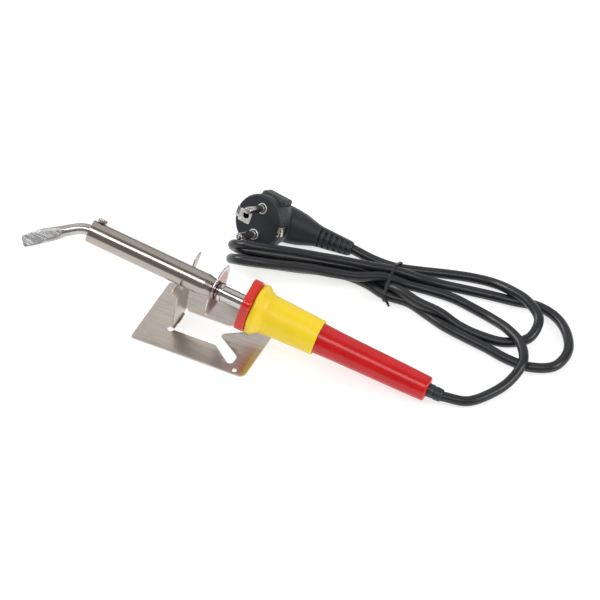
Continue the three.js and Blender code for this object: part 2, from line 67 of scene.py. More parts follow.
ROUTE = [
    (190.1, 10.9, 5.7), (205.3, 16.1, 3.5), (215.9, 28.8, 3.5), (223.0, 43.7, 5.0), (225.4, 58.9, 9.9), (217.2, 72.8, 10.5),
    (203.7, 82.2, 8.9), (189.3, 89.8, 4.9), (173.3, 94.3, 3.5), (156.8, 96.9, 3.5), (140.2, 96.3, 3.7), (124.2, 92.4, 6.0),
    (109.1, 87.7, 10.8), (94.9, 79.1, 12.3), (79.8, 72.4, 14.9), (65.1, 65.5, 18.8), (51.0, 57.2, 22.6), (36.4, 49.8, 25.8),
    (20.8, 47.6, 23.7), (12.2, 55.1, 13.6), (19.0, 65.3, 4.8), (34.4, 71.2, 3.5), (50.5, 75.7, 3.5), (66.5, 80.8, 3.5),
    (82.9, 84.2, 3.5), (99.3, 82.9, 4.1), (115.1, 78.3, 4.8), (131.4, 80.1, 3.6), (147.2, 75.5, 3.5), (162.8, 69.7, 4.9),
    (179.3, 67.1, 4.5), (195.9, 65.4, 3.6), (212.3, 62.3, 3.5), (228.9, 62.5, 3.5), (242.9, 70.2, 3.5), (245.5, 85.7, 3.5),
    (238.3, 100.5, 3.5), (225.7, 111.3, 3.5), (209.9, 115.4, 3.5), (193.5, 112.6, 3.5), (176.9, 110.4, 3.5), (160.3, 107.7, 3.5),
    (143.9, 104.6, 3.9), (128.4, 99.8, 7.7), (112.3, 96.5, 10.4), (97.0, 90.5, 12.9), (81.2, 85.2, 15.1), (66.0, 78.9, 18.0),
    (51.2, 72.0, 21.6), (36.6, 64.6, 25.1), (20.9, 59.7, 25.8), (9.0, 63.5, 17.9), (12.8, 71.5, 6.5), (27.9, 77.0, 3.8),
    (44.0, 81.7, 3.5), (60.2, 86.1, 3.5), (76.4, 90.2, 3.5), (93.0, 91.5, 3.7), (108.8, 86.8, 4.9), (123.6, 81.8, 10.0),
    (139.5, 77.5, 10.0), (155.7, 77.5, 7.5), (171.7, 75.0, 3.9), (188.4, 73.6, 3.5), (204.8, 75.7, 3.5), (217.6, 85.4, 4.5),
    (217.7, 100.3, 8.3), (205.3, 110.2, 10.4), (189.8, 116.0, 8.9), (174.1, 120.3, 5.2), (157.7, 119.5, 3.5), (141.5, 115.0, 3.5),
    (125.8, 109.5, 3.9), (109.8, 104.7, 4.5), (93.3, 105.5, 3.5), (77.8, 107.2, 4.5),
]
TIE_AT = np.array([114.0404, 91.0315, 0.0])
TIE_DIR = np.array([0.9939, 0.1103, 0.0])
TIE_STRANDS = [[-1.15, 9.38], [-12.74, 4.74], [5.8, 10.23], [-6.41, 6.68], [14.3, 4.53]]


def row(p):
    """millimetres from the bend line to metres in the row frame"""
    return (np.asarray(p, float) - ORIGIN) / 1000.0


def iron(p):
    p = np.atleast_2d(np.asarray(p, float))
    return MOUTH + p[:, :1] * AXIS + p[:, 1:2] * SIDE + p[:, 2:3] * SCREW


def plug(p):
    p = np.atleast_2d(np.asarray(p, float))
    return PF + p[:, :1] * PX + p[:, 1:2] * PP + p[:, 2:3] * PN


def stand(p):
    return np.atleast_2d(np.asarray(p, float))


# ------------------------------------------------------------------ camera first
cam_data = bpy.data.cameras.new("camera")
cam = bpy.data.objects.new("camera", cam_data)
COLLECTION.objects.link(cam)
target = row([65.73, 51.19, 2.0])
look = Vector((-0.3127, 0.6245, -0.7157)).normalized()
right = Vector((0.894, 0.448, 0.0)).normalized()
upv = right.cross(look).normalized()
cam.matrix_world = Matrix(
    ((right.x, upv.x, -look.x, 0), (right.y, upv.y, -look.y, 0), (right.z, upv.z, -look.z, 0), (0, 0, 0, 1))
)
cam.location = Vector(target) - look * 4.0
cam_data.lens = 360.2
cam_data.sensor_width = 36.0
cam_data.clip_start = 0.05
bpy.context.scene.camera = cam


# ------------------------------------------------------------------ materials
class Mat:
    """A principled material with helpers for procedural colour, roughness and bump."""

    def __init__(self, name, color=(0.5, 0.5, 0.5), rough=0.5, metal=0.0, **sockets):
        self.m = bpy.data.materials.new(name)
        self.m.use_nodes = True
        self.t = self.m.node_tree
        self.b = self.t.nodes["Principled BSDF"]
        self.b.inputs["Base Color"].default_value = (*color, 1)
        self.b.inputs["Roughness"].default_value = rough
        self.b.inputs["Metallic"].default_value = metal
        for k, v in sockets.items():
            self.b.inputs[k.replace("_", " ")].default_value = v
        self.coord = self.t.nodes.new("ShaderNodeTexCoord").outputs["Object"]
        self.height = None

    def mapping(self, scale=(1, 1, 1), rot=(0, 0, 0)):
        n = self.t.nodes.new("ShaderNodeMapping")
        n.inputs["Scale"].default_value = scale
        n.inputs["Rotation"].default_value = rot
        self.t.links.new(self.coord, n.inputs["Vector"])
        return n.outputs["Vector"]

    def noise(self, scale, detail=4.0, rough=0.5, stretch=(1, 1, 1), rot=(0, 0, 0), distortion=0.0):
        n = self.t.nodes.new("ShaderNodeTexNoise")
        n.inputs["Scale"].default_value = scale
        n.inputs["Detail"].default_value = detail
        n.inputs["Roughness"].default_value = rough
        n.inputs["Distortion"].default_value = distortion
        self.t.links.new(self.mapping(stretch, rot), n.inputs["Vector"])
        return n.outputs["Fac"]

    def voronoi(self, scale, feature="F1", stretch=(1, 1, 1), rot=(0, 0, 0)):
        n = self.t.nodes.new("ShaderNodeTexVoronoi")
        n.feature = feature
        n.inputs["Scale"].default_value = scale
        self.t.links.new(self.mapping(stretch, rot), n.inputs["Vector"])
        return n.outputs["Distance"]

    def wave(self, scale, rot=(0, 0, 0), distortion=0.0, detail=2.0):
        n = self.t.nodes.new("ShaderNodeTexWave")
        n.inputs["Scale"].default_value = scale
        n.inputs["Distortion"].default_value = distortion
        n.inputs["Detail"].default_value = detail
        self.t.links.new(self.mapping((1, 1, 1), rot), n.inputs["Vector"])
        return n.outputs["Fac"]

    def ramp(self, fac, stops):
        n = self.t.nodes.new("ShaderNodeValToRGB")
        e = n.color_ramp.elements
        while len(e) < len(stops):
            e.new(0.5)
        for el, (p, c) in zip(e, stops):
            el.position = p
            el.color = (*c, 1) if len(c) == 3 else c
        self.t.links.new(fac, n.inputs["Fac"])
        return n.outputs["Color"]

    def span(self, fac, lo, hi, a=0.0, b=1.0):
        n = self.t.nodes.new("ShaderNodeMapRange")
        n.inputs["From Min"].default_value = a
        n.inputs["From Max"].default_value = b
        n.inputs["To Min"].default_value = lo
        n.inputs["To Max"].default_value = hi
        self.t.links.new(fac, n.inputs["Value"])
        return n.outputs["Result"]

    def mix(self, fac, a, b, mode="MIX"):
        n = self.t.nodes.new("ShaderNodeMix")
        n.data_type = "RGBA"
        n.blend_type = mode
        for sock, v in ((n.inputs[0], fac), (n.inputs[6], a), (n.inputs[7], b)):
            if isinstance(v, (int, float)):
                sock.default_value = v
            elif isinstance(v, tuple):
                sock.default_value = (*v, 1)
            else:
                self.t.links.new(v, sock)
        return n.outputs[2]

    def math(self, op, a, b=0.0):
        n = self.t.nodes.new("ShaderNodeMath")
        n.operation = op
        for sock, v in ((n.inputs[0], a), (n.inputs[1], b)):
            if isinstance(v, (int, float)):
                sock.default_value = v
            else:
                self.t.links.new(v, sock)
        return n.outputs[0]

    def pointiness(self, lo, hi):
        g = self.t.nodes.new("ShaderNodeNewGeometry")
        return self.span(g.outputs["Pointiness"], 0, 1, lo, hi)

    def color(self, out):
        self.t.links.new(out, self.b.inputs["Base Color"])
        return self

    def rough(self, out):
        self.t.links.new(out, self.b.inputs["Roughness"])
        return self

    def bump(self, fac, distance, strength=1.0):
        n = self.t.nodes.new("ShaderNodeBump")
        n.inputs["Distance"].default_value = distance
        n.inputs["Strength"].default_value = strength
        self.t.links.new(fac, n.inputs["Height"])
        if self.height is not None:
            self.t.links.new(self.height, n.inputs["Normal"])
        self.height = n.outputs["Normal"]
        self.t.links.new(self.height, self.b.inputs["Normal"])
        return self


def lin(r, g, b):
    f = lambda c: (c / 255) / 12.92 if c <= 10 else (((c / 255) + 0.055) / 1.055) ** 2.4
    return (f(r), f(g), f(b))


IRON_ROT = Matrix((AXIS, SIDE, SCREW)).to_euler()  # object coordinates to the iron's own axes


def make_materials():
    M = {}
    # rolled sheet steel: fine grain along the rolling direction, faint smudges
    m = Mat("stand_steel", rough=0.34, metal=1.0)
    grain = m.noise(900, 3, 0.6, (0.06, 1, 1))
    smudge = m.noise(38, 4, 0.6)
    m.color(m.mix(m.span(grain, 0.0, 0.28, 0.45, 0.75), m.mix(m.span(smudge, 0.0, 0.6, 0.35, 0.7), lin(211, 203, 195), lin(194, 186, 178)), lin(120, 114, 110)))
    m.rough(m.math("ADD", m.span(grain, 0.22, 0.42), m.span(smudge, -0.04, 0.08, 0.3, 0.7)))
    m.bump(grain, 0.00003, 0.5)
    M["stand"] = m
    # polished stainless barrel with faint circumferential polishing lines
    m = Mat("barrel_steel", rough=0.17, metal=1.0)
    lines = m.noise(1400, 3, 0.6, (1, 0.05, 0.05), IRON_ROT)
    haze = m.noise(60, 4, 0.6, (1, 1, 1), IRON_ROT)
    heat = m.noise(26, 3, 0.5, (0.5, 1, 1), IRON_ROT)
    m.color(m.mix(m.span(heat, 0, 0.7, 0.35, 0.75), lin(180, 174, 168), lin(170, 160, 150)))
    m.rough(m.math("ADD", m.span(lines, 0.09, 0.2), m.span(haze, -0.02, 0.07, 0.3, 0.7)))
    m.bump(lines, 0.00002, 0.35)
    M["barrel"] = m
    m = Mat("neck_steel", rough=0.12, metal=1.0)
    lines = m.noise(1200, 3, 0.6, (1, 0.05, 0.05), IRON_ROT)
    m.color(m.mix(lines, lin(190, 188, 188), lin(205, 203, 202)))
    m.rough(m.span(lines, 0.06, 0.16))
    m.bump(lines, 0.00001, 0.3)
    M["neck"] = m
    m = Mat("disc_mirror", rough=0.08, metal=1.0)
    ring = m.noise(300, 3, 0.6, (1, 1, 1), IRON_ROT)
    sub = m.t.nodes.new("ShaderNodeVectorMath")
    sub.operation = "DISTANCE"
    sub.inputs[1].default_value = tuple(row(iron([(93.6, 0, 0)])[0]))
    m.t.links.new(m.coord, sub.inputs[0])
    # painted reflection of the red flange: a red-brown tint over the middle of the mirror disc, fading to silver
    # towards the rim
    painted_flange_reflection = m.span(m.math("ADD", sub.outputs["Value"], m.span(ring, -0.0015, 0.0015)), 1.0, 0.0, 0.0134, 0.0158)
    m.color(m.mix(painted_flange_reflection, lin(208, 200, 202), lin(140, 44, 34)))
    m.rough(m.span(ring, 0.08, 0.18))
    m.bump(ring, 0.00002, 0.15)
    M["disc"] = m
    m = Mat("screw_steel", rough=0.25, metal=1.0)
    n = m.noise(500, 3, 0.6)
    # colour from pointiness: darker in the slot and hollows, a painted shade, and lighter on the rims and edges, a
    # painted highlight
    m.color(m.mix(m.pointiness(0.48, 0.56), lin(120, 116, 112), lin(196, 192, 188)))
    m.rough(m.span(n, 0.18, 0.36))
    m.bump(n, 0.00003, 0.4)
    M["screw"] = m
    # the blade: tinned, file-cut hatching and dull patches
    m = Mat("bit_blade", rough=0.4, metal=0.95)
    hatch_a = m.noise(900, 2, 0.6, (1, 0.12, 0.12), (0, math.radians(-15), math.radians(25)))
    hatch_b = m.noise(800, 2, 0.6, (0.12, 1, 0.12), (0, math.radians(20), math.radians(35)))
    blot = m.noise(140, 4, 0.65)
    m.color(m.mix(m.span(blot, 0, 1, 0.35, 0.65), lin(204, 203, 205), lin(160, 158, 156)))
    m.rough(m.span(blot, 0.3, 0.55))
    m.bump(m.math("ADD", hatch_a, hatch_b), 0.0004, 0.75)
    M["blade"] = m
    m = Mat("bit_shank", rough=0.22, metal=1.0)
    n = m.noise(500, 3, 0.6, (0.15, 1, 1), (0, math.radians(40), math.radians(20)))
    blot = m.noise(90, 4, 0.6)
    m.color(m.mix(m.span(blot, 0, 1, 0.35, 0.7), lin(205, 200, 198), lin(172, 166, 162)))
    m.rough(m.span(n, 0.14, 0.3))
    m.bump(n, 0.00004, 0.35)
    M["shank"] = m
    # handle: deep gloss red that lets a little light through at its edges
    m = Mat("red_handle", rough=0.2, IOR=1.5, Subsurface_Weight=0.12, Subsurface_Scale=0.002)
    m.b.inputs["Subsurface Radius"].default_value = (1.0, 0.25, 0.1)
    n = m.noise(55, 3, 0.5)
    core = m.mix(m.span(n, 0.0, 1.0, 0.35, 0.7), lin(206, 18, 22), lin(194, 14, 18))
    m.color(core)
    fine = m.noise(420, 2, 0.5)
    m.rough(m.span(fine, 0.16, 0.26))
    m.bump(fine, 0.00003, 0.12)
    M["red"] = m
    m = Mat("red_flange", rough=0.16, Coat_Weight=0.4, Coat_Roughness=0.05, Subsurface_Weight=0.45, Subsurface_Scale=0.004)
    m.b.inputs["Subsurface Radius"].default_value = (1.0, 0.3, 0.12)
    n = m.noise(70, 3, 0.5)
    core = m.mix(m.span(n, 0, 1, 0.35, 0.7), lin(220, 34, 14), lin(192, 22, 8))
    m.color(core)
    m.rough(m.span(m.noise(300, 2), 0.12, 0.22))
    m.bump(m.noise(260, 2), 0.00003, 0.15)
    M["flange"] = m
    m = Mat("yellow_grip", rough=0.42, Sheen_Weight=0.08, Subsurface_Weight=0.15, Subsurface_Scale=0.002)
    m.b.inputs["Subsurface Radius"].default_value = (1.0, 0.7, 0.15)
    n = m.noise(45, 4, 0.55)
    g = m.noise(1500, 2, 0.5)
    m.color(m.mix(m.span(n, 0, 1, 0.3, 0.75), lin(250, 219, 30), lin(246, 207, 24)))
    m.rough(m.math("ADD", m.span(n, 0.36, 0.46), m.span(g, -0.03, 0.03)))
    m.bump(g, 0.00004, 0.3)
    M["yellow"] = m
    # lead: satin blue-black sheath, faintly uneven along its length
    m = Mat("cord_black", rough=0.36, Coat_Weight=0.1, Coat_Roughness=0.3)
    n = m.noise(60, 4, 0.6)
    g = m.noise(1800, 2, 0.5)
    m.color(m.mix(m.span(n, 0, 1, 0.3, 0.7), lin(17, 19, 24), lin(28, 31, 37)))
    m.rough(m.math("ADD", m.span(n, 0.28, 0.4), m.span(g, -0.03, 0.03)))
    m.bump(g, 0.00003, 0.25)
    m.bump(m.noise(160, 2), 0.0001, 0.15)
    M["cord"] = m
    m = Mat("plug_black", rough=0.5)
    n = m.noise(80, 4, 0.6)
    g = m.voronoi(2600, "F1")
    # colour from pointiness: lighter blue-grey on convex edges and ridges, a painted edge highlight
    m.color(m.mix(m.pointiness(0.49, 0.58), m.mix(n, lin(17, 20, 25), lin(28, 31, 37)), lin(58, 62, 72)))
    m.rough(m.span(n, 0.4, 0.56))
    m.bump(g, 0.00008, 0.35)
    M["plug"] = m
    m = Mat("boot_black", rough=0.4)
    n = m.noise(120, 4, 0.6)
    # colour from pointiness: lighter blue-grey on rib crests and convex edges, a painted edge highlight
    m.color(m.mix(m.pointiness(0.49, 0.58), m.mix(n, lin(24, 26, 30), lin(33, 35, 40)), lin(62, 65, 72)))
    m.rough(m.span(n, 0.32, 0.46))
    m.bump(m.noise(1600, 2), 0.00003, 0.3)
    M["boot"] = m
    m = Mat("pin_nickel", rough=0.2, metal=1.0)
    n = m.noise(400, 3, 0.6)
    m.color(m.mix(n, lin(214, 212, 208), lin(192, 188, 180)))
    m.rough(m.span(n, 0.12, 0.28))
    m.bump(n, 0.00002, 0.3)
    M["pin"] = m
    # near-white nickel finish; on the rings at the pin bases it is a painted highlight on the face recess rims, and the
    # earth plate wears it too
    m = Mat("pin_ring", rough=0.42, metal=0.85)
    n = m.noise(300, 3, 0.6)
    m.color(m.mix(n, lin(236, 234, 232), lin(214, 212, 210)))
    m.rough(m.span(n, 0.36, 0.5))
    m.bump(n, 0.00002, 0.3)
    M["ring"] = m
    m = Mat("tie_black", rough=0.45)
    n = m.noise(600, 3, 0.6)
    m.color(m.mix(n, lin(14, 14, 16), lin(30, 30, 33)))
    m.rough(m.span(n, 0.35, 0.55))
    m.bump(n, 0.00005, 0.4)
    M["tie"] = m
    # pieces inside
    def simple(name, c1, c2, r, metal, scale=300, stretch=(1, 1, 1)):
        q = Mat(name, rough=r, metal=metal)
        k = q.noise(scale, 4, 0.6, stretch)
        q.color(q.mix(k, lin(*c1), lin(*c2)))
        q.rough(q.span(k, r - 0.08, r + 0.08))
        q.bump(k, 0.00004, 0.4)
        return q

    M["brass"] = simple("bush_brass", (205, 180, 120), (180, 150, 90), 0.35, 1.0)
    M["inner_steel"] = simple("inner_steel", (170, 170, 170), (140, 138, 136), 0.4, 1.0)
    M["mica"] = simple("mica_sheet", (214, 205, 176), (186, 176, 144), 0.5, 0.0, 120)
    M["wire"] = simple("resistance_wire", (130, 122, 116), (96, 90, 86), 0.4, 1.0)
    M["ceramic"] = simple("ceramic_white", (236, 230, 216), (220, 212, 196), 0.5, 0.0, 200)
    M["glass_sleeve"] = simple("glass_fibre_sleeve", (224, 216, 200), (196, 188, 170), 0.75, 0.0, 900, (0.3, 1, 1))
    M["brown"] = simple("core_brown", (118, 72, 40), (100, 60, 34), 0.5, 0.0)
    M["blue"] = simple("core_blue", (42, 86, 160), (34, 72, 140), 0.5, 0.0)
    M["green"] = simple("core_green_yellow", (110, 150, 40), (140, 160, 40), 0.5, 0.0, 60)
    return M


M = make_materials()


# ------------------------------------------------------------------ mesh helpers
def new_object(name, verts_m, faces, mat, smooth=35, mats=None, face_mat=None):
    me = bpy.data.meshes.new(name)
    me.from_pydata([tuple(v) for v in verts_m], [], faces)
    me.validate()
    me.update()
    for q in mats or [mat]:
        me.materials.append(q.m)
    if face_mat is not None:
        me.polygons.foreach_set("material_index", face_mat)
    me.polygons.foreach_set("use_smooth", [True] * len(me.polygons))
    if smooth is not None:
        me.set_sharp_from_angle(angle=math.radians(smooth))
    o = bpy.data.objects.new(name, me)
    COLLECTION.objects.link(o)
    return o


def place(o, body, *nodes, slot=None):
    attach(o, body)
    if nodes:
        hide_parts(*nodes)
    return o


def outward(o):
    """faces pointing out, checked with bmesh"""
    bm = bmesh.new()
    bm.from_mesh(o.data)
    bmesh.ops.remove_doubles(bm, verts=bm.verts, dist=1e-7)
    bmesh.ops.recalc_face_normals(bm, faces=bm.faces)
    if bm.calc_volume(signed=True) < 0:
        bmesh.ops.reverse_faces(bm, faces=bm.faces)
    bm.to_mesh(o.data)
    bm.free()
    return o


def fillets(points, steps=5):
    """[(s, r, fillet radius)] to [(s, r)], a small arc at each corner that asks for one"""
    out = []
    n = len(points)
    for i, p in enumerate(points):
        q = np.array(p[:2], float)
        rad = p[2] if len(p) > 2 else 0
        if not rad or i in (0, n - 1):
            out.append(tuple(q))
            continue
        a, b = np.array(points[i - 1][:2], float), np.array(points[(i + 1) % n][:2], float)
        u, v = a - q, b - q
        lu, lv = np.linalg.norm(u), np.linalg.norm(v)
        u, v = u / lu, v / lv
        half = math.acos(max(-1, min(1, u.dot(v)))) / 2
        if half > math.radians(89):
            out.append(tuple(q))
            continue
        d = min(rad / math.tan(half), 0.48 * lu, 0.48 * lv)
        r = d * math.tan(half)
        c = q + (u + v) / np.linalg.norm(u + v) * (r / math.sin(half))
        p0, p1 = q + u * d, q + v * d
        a0, a1 = math.atan2(*(p0 - c)[::-1]), math.atan2(*(p1 - c)[::-1])
        da = (a1 - a0 + math.pi) % (2 * math.pi) - math.pi
        for k in range(steps + 1):
            t = a0 + da * k / steps
            out.append((c[0] + r * math.cos(t), c[1] + r * math.sin(t)))
    return out


def split_long(points, longest):
    out = [points[0]]
    for a, b in zip(points, points[1:]):
        n = max(1, int(math.ceil(math.dist(a, b) / longest)))
        out += [(a[0] + (b[0] - a[0]) * k / n, a[1] + (b[1] - a[1]) * k / n) for k in range(1, n + 1)]
    return out


def lathe(name, profile, frame_of, mat, seg=96, ring=False, longest=6.0, axis=0, offset=(0, 0, 0), smooth=32):
    """a turned piece; axis 0 turns about the frame's first axis, axis 2 about its third"""
    pts = list(profile)
    if ring:
        pts = split_long(pts + [pts[0]], longest)[:-1]
    else:
        pts = split_long(pts, longest)
    verts, faces, ids = [], [], []
    for s, r in pts:
        if r < 1e-6:
            ids.append([len(verts)])
            verts.append((s, 0, 0))
        else:
            ids.append(list(range(len(verts), len(verts) + seg)))
            for k in range(seg):
                t = 2 * math.pi * k / seg
                verts.append((s, r * math.cos(t), r * math.sin(t)))
    pairs = list(zip(ids, ids[1:])) + ([(ids[-1], ids[0])] if ring else [])
    for a, b in pairs:
        for k in range(seg):
            k2 = (k + 1) % seg
            if len(a) == 1 and len(b) == 1:
                continue
            if len(a) == 1:
                faces.append((a[0], b[k2], b[k]))
            elif len(b) == 1:
                faces.append((a[k], a[k2], b[0]))
            else:
                faces.append((a[k], a[k2], b[k2], b[k]))
    v = np.array(verts)
    if axis == 2:
        v = v[:, [1, 2, 0]]
    v = v + np.array(offset)
    o = new_object(name, row(frame_of(v)), faces, mat, None)
    outward(o)
    o.data.set_sharp_from_angle(angle=math.radians(smooth))
    return o


def catmull(points, per=7):
    """centripetal Catmull-Rom through the points"""
    P = np.array(points, float)
    P = np.vstack([2 * P[0] - P[1], P, 2 * P[-1] - P[-2]])
    out = []
    for i in range(1, len(P) - 2):
        p0, p1, p2, p3 = P[i - 1 : i + 3]
        t0 = 0.0
        t1 = t0 + np.linalg.norm(p1 - p0) ** 0.5
        t2 = t1 + np.linalg.norm(p2 - p1) ** 0.5
        t3 = t2 + np.linalg.norm(p3 - p2) ** 0.5
        for t in np.linspace(t1, t2, per, endpoint=False):
            a1 = (t1 - t) / (t1 - t0) * p0 + (t - t0) / (t1 - t0) * p1
            a2 = (t2 - t) / (t2 - t1) * p1 + (t - t1) / (t2 - t1) * p2
            a3 = (t3 - t) / (t3 - t2) * p2 + (t - t2) / (t3 - t2) * p3
            b1 = (t2 - t) / (t2 - t0) * a1 + (t - t0) / (t2 - t0) * a2
            b2 = (t3 - t) / (t3 - t1) * a2 + (t - t1) / (t3 - t1) * a3
            out.append((t2 - t) / (t2 - t1) * b1 + (t - t1) / (t2 - t1) * b2)
    out.append(P[-2])
    return np.array(out)


def sweep(name, path, section, mat, closed=False, up=None, smooth=40, caps=True, scale=None):
    """section [(across, up)] along a path, with frames carried along it; path in the row frame, metres"""
    path = np.asarray(path, float)
    n = len(path)
    tan = np.gradient(path, axis=0)
    if closed:
        tan = np.roll(path, -1, 0) - np.roll(path, 1, 0)
    tan /= np.linalg.norm(tan, axis=1)[:, None]
    ref = np.array(up if up is not None else (0, 0, 1), float)
    verts, faces, k = [], [], len(section)
    a = np.cross(tan[0], ref)
    if np.linalg.norm(a) < 1e-3:
        a = np.cross(tan[0], (0, 1, 0))
    a /= np.linalg.norm(a)
    for i in range(n):
        if up is not None:
            a = np.cross(tan[i], ref)
        else:
            a = a - a.dot(tan[i]) * tan[i]
        a /= np.linalg.norm(a)
        b = np.cross(a, tan[i])
        f = 1.0 if scale is None else scale[i]
        for x, y in section:
            verts.append(path[i] + f * (x * a + y * b))
    for i in range(n if closed else n - 1):
        j = (i + 1) % n
        for q in range(k):
            q2 = (q + 1) % k
            faces.append((i * k + q, i * k + q2, j * k + q2, j * k + q))
    if not closed and caps:
        faces.append(tuple(range(k))[::-1])
        faces.append(tuple((n - 1) * k + q for q in range(k)))
    o = new_object(name, verts, faces, mat, None)
    outward(o)
    o.data.set_sharp_from_angle(angle=math.radians(smooth))
    return o


def circle(r, n):
    return [(r * math.cos(2 * math.pi * i / n), r * math.sin(2 * math.pi * i / n)) for i in range(n)]


def apply_modifiers(o):
    dg = bpy.context.evaluated_depsgraph_get()
    me = bpy.data.meshes.new_from_object(o.evaluated_get(dg))
    old = o.data
    o.modifiers.clear()
    o.data = me
    bpy.data.meshes.remove(old)
    return o


def boolean(o, cutter, op="DIFFERENCE", keep=False):
    md = o.modifiers.new("cut", "BOOLEAN")
    md.operation = op
    md.solver = "EXACT"
    md.object = cutter
    bpy.context.view_layer.update()
    apply_modifiers(o)
    if not keep:
        bpy.data.objects.remove(cutter)
    return o


def block(frame_of, x0, x1, y0, y1, z0, z1, bevel=0.0, name="block"):
    v = [(x, y, z) for x in (x0, x1) for y in (y0, y1) for z in (z0, z1)]
    f = [(0, 1, 3, 2), (4, 6, 7, 5), (0, 4, 5, 1), (2, 3, 7, 6), (0, 2, 6, 4), (1, 5, 7, 3)]
    o = new_object(name, row(frame_of(v)), f, M["plug"], None)
    outward(o)
    if bevel:
        md = o.modifiers.new("bevel", "BEVEL")
        md.width = bevel / 1000
        md.segments = 3
        bpy.context.view_layer.update()
        apply_modifiers(o)
    return o


# ------------------------------------------------------------------ the lead, on its real route
path = row(catmull(ROUTE, 7))
EXIT = path[0].copy()
inward = path[0] - path[1]
path = np.vstack([path[0] + inward / np.linalg.norm(inward) * 0.004, path])
inward = path[-1] - path[-2]
path = np.vstack([path, path[-1] + inward / np.linalg.norm(inward) * 0.004])
cord = sweep("lead_sheath", path, circle(0.0034, 20), M["cord"])
LENGTH = float(np.linalg.norm(np.diff(path, axis=0), axis=1).sum())
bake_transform(cord)
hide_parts("power_cord")

# ------------------------------------------------------------------ iron: heated end
def sitting_askew(p):
    """the loose disc rests three degrees off square on its neck"""
    q = np.array(p, float)
    q[:, 0] += q[:, 1] * math.tan(math.radians(3))
    return iron(q)


R = lathe("barrel_tube", fillets([(0.0, 7.1), (0.0, 7.8, 0.35), (84.7, 7.8, 3.0), (92.5, 6.1, 0.4), (92.5, 5.4, 0.1), (84.7, 7.1, 0.5), (0.0, 7.1)])[:-1],
          iron, M["barrel"], 128, ring=True, longest=4)


def screw_hole(o):
    """a clear hole for the clamping screw"""
    boolean(o, lathe("hole", [(3.5, 0), (3.5, 2.25), (9.0, 2.25), (9.0, 0)], iron, M["barrel"], 40, axis=2, offset=(5.1, 0, 0)))
    keep = o.data.materials[0]
    o.data.materials.clear()
    o.data.materials.append(keep)
    o.data.polygons.foreach_set("material_index", [0] * len(o.data.polygons))
    o.data.polygons.foreach_set("use_smooth", [True] * len(o.data.polygons))
    o.data.set_sharp_from_angle(angle=math.radians(32))
    return o


place(screw_hole(R), "iron", "barrel", slot="barrel_steel")
place(screw_hole(lathe("clamp_bush", fillets([(1.5, 4.15), (1.5, 6.8, 0.3), (10, 6.8, 0.3), (10, 4.15, 0.1), (1.5, 4.15)])[:-1], iron, M["brass"], 64, ring=True)), "iron", "front_bush", slot="bush_brass")
place(lathe("heat_disc", fillets([(93.2, 5.5), (93.2, 17.9, 0.35), (94.0, 17.9, 0.35), (94.0, 5.5, 0), (93.2, 5.5)])[:-1], sitting_askew, M["disc"], 160, ring=True, longest=2.5), "iron", "heat_shield_disc", slot="disc_chrome")
place(lathe("disc_collar", fillets([(94.4, 5.5), (94.4, 6.4, 0.5), (97.6, 6.4, 0.5), (97.6, 5.5, 0), (94.4, 5.5)])[:-1], iron, M["neck"], 96, ring=True), "iron", "shield_collar", slot="neck_steel")
place(lathe("neck_pipe", [(84, 4.6), (84, 5.2), (128, 5.2), (128, 4.6)], iron, M["neck"], 96, ring=True), "iron", "neck_tube", slot="neck_steel")


# clamping screw: cheese head with a slot and a slightly domed top
def clamp_screw():
    z0 = 7.8 + 0.3
    o = lathe("clamp_screw", fillets([(4.2, 0), (4.2, 1.7, 0), (4.5, 2.0, 0.1), (z0, 2.0), (z0, 3.25, 0.25), (z0 + 2.2, 3.25, 0.5), (z0 + 2.4, 1.6, 2.0), (z0 + 2.4, 0)]),
              iron, M["screw"], 64, axis=2, offset=(5.1, 0, 0), longest=2)
    cut = block(iron, 5.1 - 0.45, 5.1 + 0.45, -4, 4, z0 + 1.25, z0 + 4)
    boolean(o, cut)
    o.data.materials.clear()
    o.data.materials.append(M["screw"].m)
    o.data.polygons.foreach_set("use_smooth", [True] * len(o.data.polygons))
    o.data.set_sharp_from_angle(angle=math.radians(38))
    return o


place(clamp_screw(), "bit_screw", "bit_screw", slot="screw_steel")


